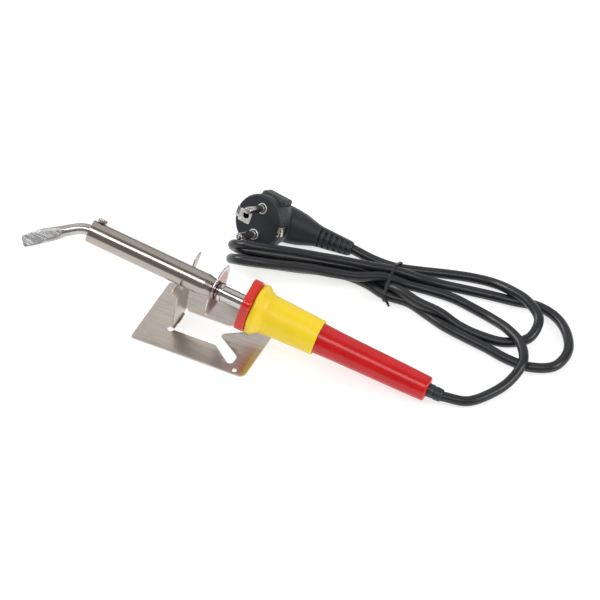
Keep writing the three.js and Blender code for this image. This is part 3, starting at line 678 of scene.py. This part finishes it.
# bit: round bar bent in front of the mouth, forged flat in the plane of the bend
def soldering_bit():
    line = np.array([[55, 0], [20, 0], [6, 0], [1, 0], [-2.5, -0.25], [-6.9, -1.8], [-10.6, -4.1], [-15.1, -7.3], [-21, -12.1], [-26.6, -16.1], [-32.4, -21.1], [-37.8, -25.5]], float)
    c = catmull(line, 12)
    along = np.concatenate([[0], np.cumsum(np.linalg.norm(np.diff(c, axis=0), axis=1))])
    total = along[-1]
    stations = np.concatenate([np.linspace(0, total - 50, 14, endpoint=False), np.linspace(total - 50, total, 90)])
    c = np.stack([np.interp(stations, along, c[:, k]) for k in range(2)], 1)
    t = np.gradient(c, axis=0)
    t /= np.linalg.norm(t, axis=1)[:, None]
    verts, n = [], 64
    for i, (p, d) in enumerate(zip(c, t)):
        tip = total - stations[i]
        k = min(1.0, max(0.0, (tip - 1) / 27.0))
        flat = 0.8 + (3.85 - 0.8) * k**0.85
        wide = 3.85 + (0.95 * math.sin(math.pi * min(1, tip / 28)) if tip < 28 else 0)
        wide *= 1 - 0.03 * max(0, 1 - tip / 1.2)
        sq = 1 - k
        e = 1 - 0.7 * sq**0.8
        # the two flat faces start as a V-shaped run-out on the round bar
        for q in range(n):
            a = 2 * math.pi * q / n
            x, y = math.cos(a), math.sin(a)
            x, y = math.copysign(abs(x) ** e, x), math.copysign(abs(y) ** e, y)
            w, h = wide * x, flat * y
            if tip < 30:
                ax = max(-1.0, min(1.0, abs(w) / 4.9))
                plane = 0.85 + max(0.0, tip - 2) * 0.098 + 0.55 * ax * 0
                lim = 0.85 + max(0.0, tip - 1) * 0.105
                h = math.copysign(min(abs(h), lim), h) if abs(h) > 0 else h
            end = max(0.0, 1 - tip / 0.5) * 0.25
            s = p[0] + (-d[1]) * w * (1 - end)
            z = p[1] + d[0] * w * (1 - end)
            verts.append((s, h * (1 - end), z))
    v = np.array(verts)
    # hammered and filed unevenness on the blade, stronger towards the tip
    for i in range(len(v)):
        tip = total - stations[i // n]
        if tip < 29:
            g = min(1.0, (29 - tip) / 14)
            v[i, 1] += 0.085 * g * noise.noise(Vector((v[i, 0] * 0.45, v[i, 1] * 0.4, v[i, 2] * 0.45)))
            v[i, 2] += 0.06 * g * noise.noise(Vector((v[i, 0] * 0.6 + 9, v[i, 1], v[i, 2] * 0.6)))
    m = len(c)
    faces, fm = [], []
    for i in range(m - 1):
        for q in range(n):
            q2 = (q + 1) % n
            faces.append((i * n + q, i * n + q2, (i + 1) * n + q2, (i + 1) * n + q))
            fm.append(1 if total - stations[i] < 27 and abs(math.sin(2 * math.pi * (q + 0.5) / n)) > 0.1 else 0)
    faces.append(tuple(range(n)))
    fm.append(0)
    faces.append(tuple((m - 1) * n + q for q in range(n))[::-1])
    fm.append(1)
    o = new_object("chisel_bit", row(iron(v)), faces, M["shank"], None, mats=[M["shank"], M["blade"]], face_mat=fm)
    bm = bmesh.new()
    bm.from_mesh(o.data)
    bmesh.ops.recalc_face_normals(bm, faces=bm.faces)
    bm.to_mesh(o.data)
    bm.free()
    o.data.set_sharp_from_angle(angle=math.radians(40))
    return o


place(soldering_bit(), "bit", "bit", slot="bit_tinned")


# hexagonal flange with rounded corners and edges, and its spigot
def flange():
    af, corner, n = 17.6, 4.6, 216
    centre = (af - corner) / math.cos(math.pi / 6)
    out = []
    for i in range(n):
        a = 2 * math.pi * i / n + 1e-4
        # support point of a rounded hexagon in direction a; vertices sit at 30 degrees, 90 degrees ...
        k = math.floor((a) / (math.pi / 3))
        mid = math.pi / 6 + k * math.pi / 3
        lo, hi = mid - math.pi / 6, mid + math.pi / 6
        d = a - mid
        # flats take the outer quarter of each sector in angle, the rounded corner the middle
        cx, cy = centre * math.cos(mid), centre * math.sin(mid)
        edge = math.pi / 6
        x = d / edge
        spread = math.atan2(corner * math.sin(edge), centre + corner * math.cos(edge) - 0)
        if abs(d) <= spread:
            th = mid + edge * (d / spread)
            out.append(((cx + corner * math.cos(th), cy + corner * math.sin(th)), (math.cos(th), math.sin(th))))
        else:
            sgn = 1 if d > 0 else -1
            nn = mid + sgn * edge
            # point on the flat whose normal is nn, in direction a
            r = af / math.cos(a - nn)
            out.append(((r * math.cos(a), r * math.sin(a)), (math.cos(nn), math.sin(nn))))
    prof = []  # (station, inset)
    s0, s1, e = 114.0, 120.7, 1.5
    for k in range(7):
        t = math.pi / 2 * k / 6
        prof.append((s0 + e * (1 - math.sin(t)), e * (1 - math.cos(t))))
    prof = prof[::-1][::-1]
    front = [(s0 + e - e * math.cos(t), e - e * math.sin(t)) for t in np.linspace(0, math.pi / 2, 7)]
    back = [(s1 - e + e * math.sin(t), e - e * math.cos(t)) for t in np.linspace(0, math.pi / 2, 7)]
    rings = []
    hole = lambda s, r: [(s, r * y / math.hypot(x, y), r * x / math.hypot(x, y)) for (x, y), _ in out]
    rings.append(hole(s0 + 0.0, 5.5))
    rings.append(hole(s0 + 0.0, 7.2))
    for s, d in front + back:
        rings.append([(s, y - d * ny, x - d * nx) for (x, y), (nx, ny) in out])
    rings.append(hole(s1, 8.4))
    rings.append(hole(s1, 8.0))
    rings.append(hole(131, 8.0))
    rings.append(hole(131, 5.5))
    verts = [p for r_ in rings for p in r_]
    faces = []
    m = len(rings)
    for i in range(m):
        j = (i + 1) % m
        for q in range(n):
            q2 = (q + 1) % n
            faces.append((i * n + q, i * n + q2, j * n + q2, j * n + q))
    o = new_object("hex_flange_moulding", row(iron(verts)), faces, M["flange"], None)
    outward(o)
    o.data.set_sharp_from_angle(angle=math.radians(35))
    return o


place(flange(), "iron", "hex_flange", slot="red_translucent")

place(lathe("soft_grip", fillets([(121.0, 10.95), (121.0, 16.7, 0.8), (122.2, 17.55, 1.6), (124.8, 17.55, 2.2), (127.9, 14.95, 2.5), (130.4, 13.75, 4.0), (136, 13.35, 20), (149, 12.9, 40), (160, 12.45, 40), (167.8, 12.2, 0.9), (167.8, 10.95, 0), (121.0, 10.95)])[:-1],
            iron, M["yellow"], 144, ring=True, longest=2.5), "iron", "grip_sleeve", slot="yellow_grip")
place(lathe("handle_tube", fillets([(121.1, 8.4), (121.1, 10.6, 0.3), (168, 10.6, 30), (183, 9.95, 60), (229, 9.1, 60), (247.5, 8.5, 2.2), (247.5, 5.0, 0.25), (243.6, 5.0), (243.6, 6.0), (240, 6.4), (229, 6.9), (183, 7.75), (168, 8.4), (121.1, 8.4)])[:-1],
            iron, M["red"], 144, ring=True, longest=3), "iron", "handle_shell", slot="red_handle")
place(lathe("cord_sleeve", fillets([(233.5, 3.7), (233.5, 5.7, 0.3), (239, 5.7, 0.5), (241.5, 5.4, 0.5), (243.2, 5.4, 0.1), (243.2, 4.65), (251.2, 4.62), (251.5, 4.3, 0.15), (252.3, 4.3, 0.15), (252.6, 4.6, 0.15), (256.6, 4.45, 0.4), (257.6, 4.05, 0.3), (257.6, 3.7), (233.5, 3.7)])[:-1],
            iron, M["boot"], 96, ring=True, longest=3), "iron", "cord_boot", slot="boot_black")


# ------------------------------------------------------------------ stand: one sheet, folded
def stand_sheet():
    T = 0.9
    tanv = math.tan(math.radians(33))
    vy = lambda x: (x - 30.6) * tanv

    def fork_half(g):
        """fork outline, far side, from the foot to the bottom of the V, as (x along, y across)"""
        pts = [(0.0, 9.9 + g), (32.8, 9.9 + g), (33.9, 10.3 + g), (34.9, 10.95 + g), (46.6, 19.9 + g), (47.6, 20.55 + g), (48.8, 20.75 + g), (50.0, 20.35 + g * 0.8), (50.7, 19.5 + g * 0.4), (50.8 + g, 18.6)]
        top = 50.8
        pts += [(top + g, vy(top) + 1.1), (top - 0.25 + g * 0.5, vy(top) + 0.25 - g * 0.4), (top - 0.9, vy(top - 0.9) - g)]
        centre = 30.6 + 2.5 / math.sin(math.radians(33))
        r = 2.5 - g
        for k in range(0, 9):
            a = math.radians(-33) - (math.pi / 2 - math.radians(33)) * k / 8
            y, x = r * math.cos(a), centre + r * math.sin(a)
            pts.append((x, max(0.0, y)))
        return pts

    far = fork_half(0)
    fork = far[:-1] + [(far[-1][0], 0.0)] + [(x, -y) for x, y in far[:-1][::-1]]
    wfar = fork_half(0.3)
    window = wfar[:-1] + [(wfar[-1][0], 0.0)] + [(x, -y) for x, y in wfar[:-1][::-1]]

    def arc(cx, cy, r, a0, a1, n=8):
        return [(cx + r * math.cos(a0 + (a1 - a0) * k / n), cy + r * math.sin(a0 + (a1 - a0) * k / n)) for k in range(n + 1)]

    x0, x1, w = -20.5, 63.2, 28.5
    h = math.pi / 2
    outer = arc(x0 + 2, -w + 2, 2, 2 * h, 3 * h) + arc(x1 - 4.5, -w + 4.5, 4.5, 3 * h, 4 * h) + arc(x1 - 2, w - 2, 2, 0, h) + arc(x0 + 2, w - 2, 2, h, 2 * h)

    def inside(p, poly):
        x, y = p
        c = False
        j = len(poly) - 1
        for i in range(len(poly)):
            xi, yi = poly[i]
            xj, yj = poly[j]
            if (yi > y) != (yj > y) and x < (xj - xi) * (y - yi) / (yj - yi) + xi:
                c = not c
            j = i
        return c

    relief = [arc(0.0, s * 9.9, 2.4, 0, 4 * h, 20)[:-1] for s in (1, -1)]
    hang = arc(55, -25, 1.7, 0, 4 * h, 24)[:-1]

    def resample(poly, step):
        out = []
        for i in range(len(poly)):
            a, b = poly[i], poly[(i + 1) % len(poly)]
            n = max(1, int(round(math.dist(a, b) / step)))
            out += [(a[0] + (b[0] - a[0]) * k / n, a[1] + (b[1] - a[1]) * k / n) for k in range(n)]
        return out

    # flat plate (x below the bend or outside the window) and folded fork, sharing the line x = 0
    def cdt(loops, keep, extra):
        pts, edges = [], []
        for L in loops:
            L = resample(L, 2.2)
            s = len(pts)
            pts += L
            edges += [(s + i, s + (i + 1) % len(L)) for i in range(len(L))]
        pts += extra
        res = geometry.delaunay_2d_cdt([Vector(p) for p in pts], edges, [], 0, 1e-4)
        V = [(v.x, v.y) for v in res[0]]
        F = []
        for f in res[2]:
            c = (sum(V[i][0] for i in f) / 3, sum(V[i][1] for i in f) / 3)
            if keep(c):
                F.append(tuple(f))
        return V, F

    r_in = 1.0
    ang = math.radians(82)
    r_mid = r_in + T / 2
    bend_len = r_mid * ang
    grid = [(x, y) for x in np.arange(-18, 62, 4.0) for y in np.arange(-26, 27, 4.0)]
    nb = 8
    stem = [(bend_len * k / nb, y) for k in range(nb + 1) for y in np.linspace(-7.3, 7.3, 9)]
    stem += [(x, y) for x in np.arange(4.5, 33, 3.0) for y in np.linspace(-8, 8, 6)]

    def near_hole(p):
        return any(math.dist(p, (0, s * 9.9)) < 2.4 for s in (1, -1)) or math.dist(p, (55, -25)) < 1.7

    plate_keep = lambda c: inside(c, outer) and not near_hole(c) and not (c[0] > 0 and inside(c, window))
    fork_keep = lambda c: inside(c, fork) and c[0] > 0 and not near_hole(c)
    extra = [p for p in grid if plate_keep(p) and min(abs(p[0]), 9) > 0.6] + [(0.0, y) for y in np.linspace(-7.3, 7.3, 9)]
    Vp, Fp = cdt([outer, window, relief[0], relief[1], hang], plate_keep, extra)
    Vf, Ff = cdt([fork, relief[0], relief[1]], fork_keep, [p for p in stem if p[0] >= 0])

    def lift(x, y):
        """flat pattern to the folded middle surface"""
        if x <= 0:
            return (x, y, T / 2)
        a = min(ang, x / r_mid)
        px, pz = r_mid * math.sin(a), T / 2 + r_mid * (1 - math.cos(a))
        if x > bend_len:
            d = x - bend_len
            px += d * math.cos(ang)
            pz += d * math.sin(ang)
        return (px - 0.75, y, pz)

    # the bend starts a little before the line, so that the fork stands where the frame has it
    verts, faces, index = [], [], {}

    def vid(p):
        k = (round(p[0], 3), round(p[1], 3), round(p[2], 3))
        if k not in index:
            index[k] = len(verts)
            verts.append(p)
        return index[k]

    for f in Fp:
        faces.append(tuple(vid((Vp[i][0] - (0.75 if Vp[i][0] > -1.2 and abs(Vp[i][1]) < 7.45 and Vp[i][0] < 0.2 else 0), Vp[i][1], T / 2)) for i in f))
    for f in Ff:
        faces.append(tuple(vid(lift(*Vf[i])) for i in f))
    faces = [f for f in faces if len(set(f)) == 3]
    o = new_object("folded_sheet", row(np.array(verts)), faces, M["stand"], None)
    bm = bmesh.new()
    bm.from_mesh(o.data)
    bmesh.ops.remove_doubles(bm, verts=bm.verts, dist=5e-5)
    bmesh.ops.recalc_face_normals(bm, faces=bm.faces)
    bm.to_mesh(o.data)
    bm.free()
    md = o.modifiers.new("thick", "SOLIDIFY")
    md.thickness = T / 1000
    md.offset = 0
    md.use_even_offset = True
    md2 = o.modifiers.new("edge", "BEVEL")
    md2.width, md2.segments, md2.limit_method, md2.angle_limit = 0.00016, 2, "ANGLE", math.radians(50)
    bpy.context.view_layer.update()
    apply_modifiers(o)
    outward(o)
    o.data.polygons.foreach_set("use_smooth", [True] * len(o.data.polygons))
    o.data.set_sharp_from_angle(angle=math.radians(30))
    return o


place(stand_sheet(), "stand", "stand_plate", slot="stand_steel")


# ------------------------------------------------------------------ plug
def plug_shell():
    parts = []
    parts.append(lathe("pb", fillets([(-25.5, 0), (-25.5, 10.6, 2.5), (-20, 15.8, 6), (-12, 18.0, 8), (-1.2, 18.5, 1.0), (0, 17.9, 0.4), (0, 0)]), plug, M["plug"], 96, axis=2, longest=1.5))
    ca, sa = math.cos(math.radians(22)), math.sin(math.radians(22))

    def along(p):
        p = np.atleast_2d(p)
        q = np.stack([p[:, 0] * ca + p[:, 2] * sa, p[:, 1], -p[:, 0] * sa + p[:, 2] * ca - 20], 1)
        return plug(q)

    # neck: an oval that tapers to the round boot
    n = 64
    st = [(0, 12.6, 11.5), (8, 12.6, 11.5), (14, 12.0, 11.0), (20, 10.9, 10.0), (26, 9.0, 8.6), (31, 7.5, 7.4), (33, 7.2, 7.2)]
    rings = []
    for s, w, h in st:
        rings.append([(s, w * math.copysign(abs(math.cos(t)) ** 0.85, math.cos(t)), h * math.copysign(abs(math.sin(t)) ** 0.85, math.sin(t))) for t in [2 * math.pi * k / n for k in range(n)]])
    verts = [p for r_ in rings for p in r_]
    faces = [(i * n + q, i * n + (q + 1) % n, (i + 1) * n + (q + 1) % n, (i + 1) * n + q) for i in range(len(rings) - 1) for q in range(n)]
    faces += [tuple(range(n)), tuple((len(rings) - 1) * n + q for q in range(n))[::-1]]
    parts.append(outward(new_object("neck", row(along(verts)), faces, M["plug"], None)))
    crisp = []
    # boot core and ribs
    crisp.append(lathe("core", [(28, 0), (28, 5.0), (40, 4.5), (50, 4.1), (56.2, 4.0), (56.6, 3.8), (56.6, 0)], along, M["plug"], 64, longest=1.0))
    s, r = 34.2, 7.15
    for k in range(5):
        crisp.append(lathe("rib", fillets([(s, 0), (s, r, 0.5), (s + 2.2, r - 0.25, 0.5), (s + 2.2, 0)]), along, M["plug"], 64, longest=0.8))
        s += 3.95
        r -= 0.5
    crisp.append(lathe("end", fillets([(53.6, 0), (53.6, 5.0, 0.7), (56.6, 4.6, 0.9), (56.6, 0)]), along, M["plug"], 64, longest=0.8))
    # two spines that tie the ribs together
    for ang in (0, math.pi):
        v = []
        for sx, rr in ((30, 7.4), (55, 4.9)):
            for w in (-1.5, 1.5):
                for d in (-3, 0):
                    v.append((sx, (rr + d) * math.cos(ang) if True else 0, w))
        f = [(0, 1, 3, 2), (4, 6, 7, 5), (0, 4, 5, 1), (2, 3, 7, 6), (0, 2, 6, 4), (1, 5, 7, 3)]
        crisp.append(outward(new_object("spine", row(along(v)), f, M["plug"], None)))
    # grip ridge across the top
    parts.append(block(plug, -8.5, 11.0, 14.0, 19.0, -17.5, -7.0, 1.4))
    parts.append(block(plug, -8.5, 12.5, -18.6, -14.0, -19.0, -8.0, 1.4))
    base = parts[0]
    bpy.ops.object.select_all(action="DESELECT")
    for p in parts:
        p.select_set(True)
    bpy.context.view_layer.objects.active = base
    bpy.ops.object.join()
    md = base.modifiers.new("union", "REMESH")
    md.mode = "VOXEL"
    md.voxel_size = 0.00048
    md.adaptivity = 0.0
    sm = base.modifiers.new("soft", "SMOOTH")
    sm.factor, sm.iterations = 0.5, 4
    bpy.context.view_layer.update()
    apply_modifiers(base)
    # openings
    for y in (-9.5, 9.5):
        cut = lathe("c", [(-10, 0), (-10, 2.7), (1.5, 2.7), (1.5, 0)], plug, M["plug"], 48, axis=2, offset=(0, y, 0))
        boolean(base, cut)
    boolean(base, lathe("c", [(-14, 0), (-14, 3.35), (1.5, 3.35), (1.5, 0)], plug, M["plug"], 48, axis=2, offset=(-10, 0, 0)))
    boolean(base, block(plug, -21, -16.7, -4.1, 4.1, -9.4, 2.0, 0.3))
    boolean(base, block(plug, 16.7, 21, -4.1, 4.1, -9.4, 2.0, 0.3))
    boolean(base, block(plug, -17.0, -12.6, -2.6, 2.6, -0.5, 2.0, 0.1))
    bpy.ops.object.select_all(action="DESELECT")
    for p in [base] + crisp:
        p.select_set(True)
    bpy.context.view_layer.objects.active = base
    bpy.ops.object.join()
    base.name = "plug_moulding"
    base.data.name = "plug_moulding"
    base.data.materials.clear()
    base.data.materials.append(M["plug"].m)
    base.data.polygons.foreach_set("use_smooth", [True] * len(base.data.polygons))
    base.data.polygons.foreach_set("material_index", [0] * len(base.data.polygons))
    base.data.set_sharp_from_angle(angle=math.radians(40))
    return base


plug_body = place(plug_shell(), "stand", "plug_body", slot="plug_black")
extras = [plug_body]
for name, y, node in (("pin_low", -9.5, "plug_pin_lower"), ("pin_high", 9.5, "plug_pin_upper")):
    pin = lathe(name, fillets([(-9.6, 0), (-9.6, 2.4, 0.1), (18.0, 2.4, 0.8), (19.0, 1.5, 0.5), (19.0, 0.75, 0.1), (18.4, 0.6, 0.1), (18.3, 0)]), plug, M["pin"], 64, axis=2, offset=(0, y, 0), longest=2)
    extras.append(place(pin, "stand", node, slot="pin_nickel"))
    # near-white ring at each pin base: a painted highlight on the rim of the face recess, built as a thin ring piece
    collar = lathe(name + "_collar", fillets([(-0.5, 2.9), (0.3, 2.9, 0.1), (0.3, 3.75, 0.25), (-0.5, 3.75, 0), (-0.5, 2.9)])[:-1], plug, M["ring"], 64, ring=True, axis=2, offset=(0, y, 0), longest=2)
    extras.append(place(collar, "stand", slot="pin_nickel"))
sock = lathe("earth_tube", fillets([(-13.6, 2.3), (-13.6, 3.2, 0.1), (0.25, 3.2, 0.2), (0.25, 2.45, 0.2), (-0.4, 2.3, 0.1), (-13.6, 2.3)])[:-1], plug, M["pin"], 64, ring=True, axis=2, offset=(-10, 0, 0), longest=2)
extras.append(place(sock, "stand", "earth_socket", slot="pin_nickel"))


def earth_plate():
    """the sprung earth plate that frames the socket: a rounded square with a round hole"""
    n = 72
    rings = []
    for z, ro, ri in ((-0.4, 4.3, 2.35), (0.22, 4.3, 2.35), (0.34, 4.15, 2.5)):
        o_, i_ = [], []
        for k in range(n):
            t = 2 * math.pi * k / n
            c, q = math.cos(t), math.sin(t)
            f = (abs(c) ** 7 + abs(q) ** 7) ** (-1 / 7)
            o_.append((-10.6 + (ro + 0.6) * c * f, -0.9 + ro * q * f, z))
            i_.append((-10 + ri * c, ri * q, z))
        rings.append((o_, i_))
    loop = [rings[0][0], rings[1][0], rings[2][0], rings[2][1], rings[1][1], rings[0][1]]
    verts = [v for r_ in loop for v in r_]
    m = len(loop)
    faces = [(i * n + k, i * n + (k + 1) % n, ((i + 1) % m) * n + (k + 1) % n, ((i + 1) % m) * n + k) for i in range(m) for k in range(n)]
    o = outward(new_object("earth_plate", row(plug(verts)), faces, M["ring"], None))
    o.data.set_sharp_from_angle(angle=math.radians(35))
    return o


extras.append(place(earth_plate(), "stand", slot="pin_nickel"))


def clip(name, side, node):
    """a sheet strip folded over the rim: along the flank, then turned in on the face"""
    prof = [(16.95, -8.8), (17.45, -8.8), (18.35, -7.6), (18.5, -4.0), (18.45, -0.2), (18.1, 0.25), (17.0, 0.28), (13.1 if side < 0 else 17.0, 0.28), (13.1 if side < 0 else 17.0, -0.25), (17.3, -0.25), (17.75, -0.7), (17.85, -4.0), (17.7, -7.2)]
    verts = [(side * x, y, z) for y in (-3.5, 3.5) for x, z in prof]
    n = len(prof)
    faces = [tuple(range(n)), tuple(range(n, 2 * n))[::-1]] + [(i, (i + 1) % n, n + (i + 1) % n, n + i) for i in range(n)]
    o = outward(new_object(name, row(plug(verts)), faces, M["pin"], None))
    md = o.modifiers.new("bevel", "BEVEL")
    md.width, md.segments, md.limit_method, md.angle_limit = 0.00015, 2, "ANGLE", math.radians(40)
    bpy.context.view_layer.update()
    apply_modifiers(o)
    o.data.polygons.foreach_set("use_smooth", [True] * len(o.data.polygons))
    o.data.set_sharp_from_angle(angle=math.radians(38))
    return place(o, "stand", node, slot="pin_nickel")


extras += [clip("clip_left", -1, "earth_clip_left"), clip("clip_right", 1, "earth_clip_right")]


# ------------------------------------------------------------------ twist tie
def tie():
    side = np.cross((0, 0, 1), TIE_DIR)
    pts = []
    for a in np.linspace(0, 2 * math.pi, 72, endpoint=False):
        d = np.array([math.cos(a), math.sin(a)])
        pts.append(max((np.array(c) + 4.35 * d for c in TIE_STRANDS), key=lambda q: q @ d))
    pts = np.array(pts)
    # even spacing round the outline
    loop = np.vstack([pts, pts[:1]])
    s = np.concatenate([[0], np.cumsum(np.linalg.norm(np.diff(loop, axis=0), axis=1))])
    even = np.linspace(0, s[-1], 120, endpoint=False)
    loop = np.stack([np.interp(even, s, loop[:, k]) for k in range(2)], 1)
    for _ in range(3):
        loop = 0.5 * loop + 0.25 * (np.roll(loop, 1, 0) + np.roll(loop, -1, 0))
    loop[:, 1] = np.maximum(loop[:, 1], 0.45)
    P3 = TIE_AT + loop[:, :1] * side + loop[:, 1:2] * np.array([0, 0, 1.0]) + 0.0 * TIE_DIR
    sec = [(0.36 * math.copysign(abs(math.cos(t)) ** 0.6, math.cos(t)) / 1000, 1.05 * math.copysign(abs(math.sin(t)) ** 0.7, math.sin(t)) / 1000) for t in [2 * math.pi * k / 16 for k in range(16)]]
    # band: thin across, wide along the bundle
    path3 = row(P3)
    n = len(path3)
    tan = np.roll(path3, -1, 0) - np.roll(path3, 1, 0)
    tan /= np.linalg.norm(tan, axis=1)[:, None]
    verts, faces = [], []
    for i in range(n):
        out = np.cross(tan[i], TIE_DIR)
        out /= np.linalg.norm(out)
        for x, y in sec:
            verts.append(path3[i] + x * out + y * TIE_DIR)
    k = len(sec)
    for i in range(n):
        j = (i + 1) % n
        faces += [(i * k + q, i * k + (q + 1) % k, j * k + (q + 1) % k, j * k + q) for q in range(k)]
    band = outward(new_object("tie_band", verts, faces, M["tie"], None))
    band.data.set_sharp_from_angle(angle=math.radians(40))
    # twisted tail: two strands wound round each other, lying low on the near side
    i0 = int(np.argmin((loop[:, 0] - loop[:, 0].min()) ** 2 + (loop[:, 1] - 7.5) ** 2))
    start = P3[i0]
    outd = -side * 0.55 + TIE_DIR * 0.55 - np.array([0, 0, 0.28])
    outd /= np.linalg.norm(outd)
    u = np.cross(outd, (0, 0, 1))
    u /= np.linalg.norm(u)
    v = np.cross(u, outd)
    tails = []
    for ph in (0, math.pi):
        t = np.linspace(0, 1, 60)
        rad = 0.55 * np.minimum(1, (1 - t) * 6 + 0.35)
        p = start + np.outer(t * 8.0, outd) + np.outer(rad * np.cos(ph + t * 16), u) + np.outer(rad * np.sin(ph + t * 16), v)
        p[:, 2] = np.maximum(p[:, 2], 0.6)
        tails.append(sweep("tie_tail", row(p), circle(0.00048, 10), M["tie"]))
    bpy.ops.object.select_all(action="DESELECT")
    for o in [band] + tails:
        o.select_set(True)
    bpy.context.view_layer.objects.active = band
    bpy.ops.object.join()
    band.name = "wire_tie"
    band.data.materials.clear()
    band.data.materials.append(M["tie"].m)
    band.data.polygons.foreach_set("material_index", [0] * len(band.data.polygons))
    return band


extras.append(place(tie(), "stand", "twist_tie", slot="tie_black"))

# ------------------------------------------------------------------ pieces inside keep their CAD shape, with their own finishes
INSIDE = {
    "bit_socket_tube": "inner_steel", "mica_inner": "mica", "heater_winding": "wire", "mica_outer": "mica", "ceramic_spacer": "ceramic",
    "terminal_block": "ceramic", "terminal_screw_1": "brass", "terminal_screw_2": "brass", "terminal_screw_3": "brass",
    "element_lead_live": "glass_sleeve", "element_lead_neutral": "glass_sleeve", "earth_bond_lead": "glass_sleeve",
    "core_live": "brown", "core_neutral": "blue", "core_earth": "green", "cord_tail": "cord", "cord_crimp": "inner_steel",
}
for node, key in INSIDE.items():
    o = NODES[node]
    if not o.material_slots:
        o.data.materials.append(M[key].m)
    for s in o.material_slots:
        s.material = M[key].m

# ------------------------------------------------------------------ stage
floor_me = bpy.data.meshes.new("floor")
c = row([60, 50, 0])
q = 3.0
floor_me.from_pydata([(c[0] - q, c[1] - q, -0.0006), (c[0] + q, c[1] - q, -0.0006), (c[0] + q, c[1] + q, -0.0006), (c[0] - q, c[1] + q, -0.0006)], [], [(0, 1, 2, 3)])
floor = bpy.data.objects.new("floor", floor_me)
COLLECTION.objects.link(floor)
fm = bpy.data.materials.new("floor_white")
fm.use_nodes = True
fb = fm.node_tree.nodes["Principled BSDF"]
fb.inputs["Base Color"].default_value = (0.42, 0.42, 0.42, 1)
fb.inputs["Roughness"].default_value = 0.9
fb.inputs["Specular IOR Level"].default_value = 0.0
fb.inputs["Emission Color"].default_value = (1, 1, 1, 1)
fb.inputs["Emission Strength"].default_value = 0.72
floor_me.materials.append(fm)

world = bpy.data.worlds.new("studio")
bpy.context.scene.world = world
world.use_nodes = True
wt = world.node_tree
bg = wt.nodes["Background"]
bg.inputs["Color"].default_value = (1.0, 0.99, 0.975, 1)
bg.inputs["Strength"].default_value = 0.25


def area(name, loc, aim, size, power, size_y=None, color=(1, 1, 1)):
    d = bpy.data.lights.new(name, "AREA")
    d.energy = power
    d.size = size
    d.color = color
    if size_y:
        d.shape = "RECTANGLE"
        d.size_y = size_y
    o = bpy.data.objects.new(name, d)
    COLLECTION.objects.link(o)
    o.location = loc
    o.rotation_euler = (Vector(aim) - Vector(loc)).to_track_quat("-Z", "Y").to_euler()
    return o


mid = Vector(row([65, 50, 10]))
front = -look
# four plain soft boxes: one at each end, a large one behind and above, a long one in front
area("left_box", mid + Vector((-1.7, 0.0, 1.1)), mid, 0.9, 16, 0.9)
area("right_box", mid + Vector((1.75, 0.05, 1.1)), mid, 0.9, 16, 0.9)
area("back_box", mid + Vector((-0.35, 1.35, 1.6)), mid, 2.8, 12.5, 2.6, (1.0, 0.985, 0.965))
area("front_box", mid + Vector((-0.05, -1.0, 1.95)), mid, 2.2, 17, 0.7)

scene = bpy.context.scene
scene.view_settings.view_transform = "Standard"
scene.view_settings.look = "None"
scene.view_settings.exposure = 0.0
scene.view_settings.gamma = 1.0
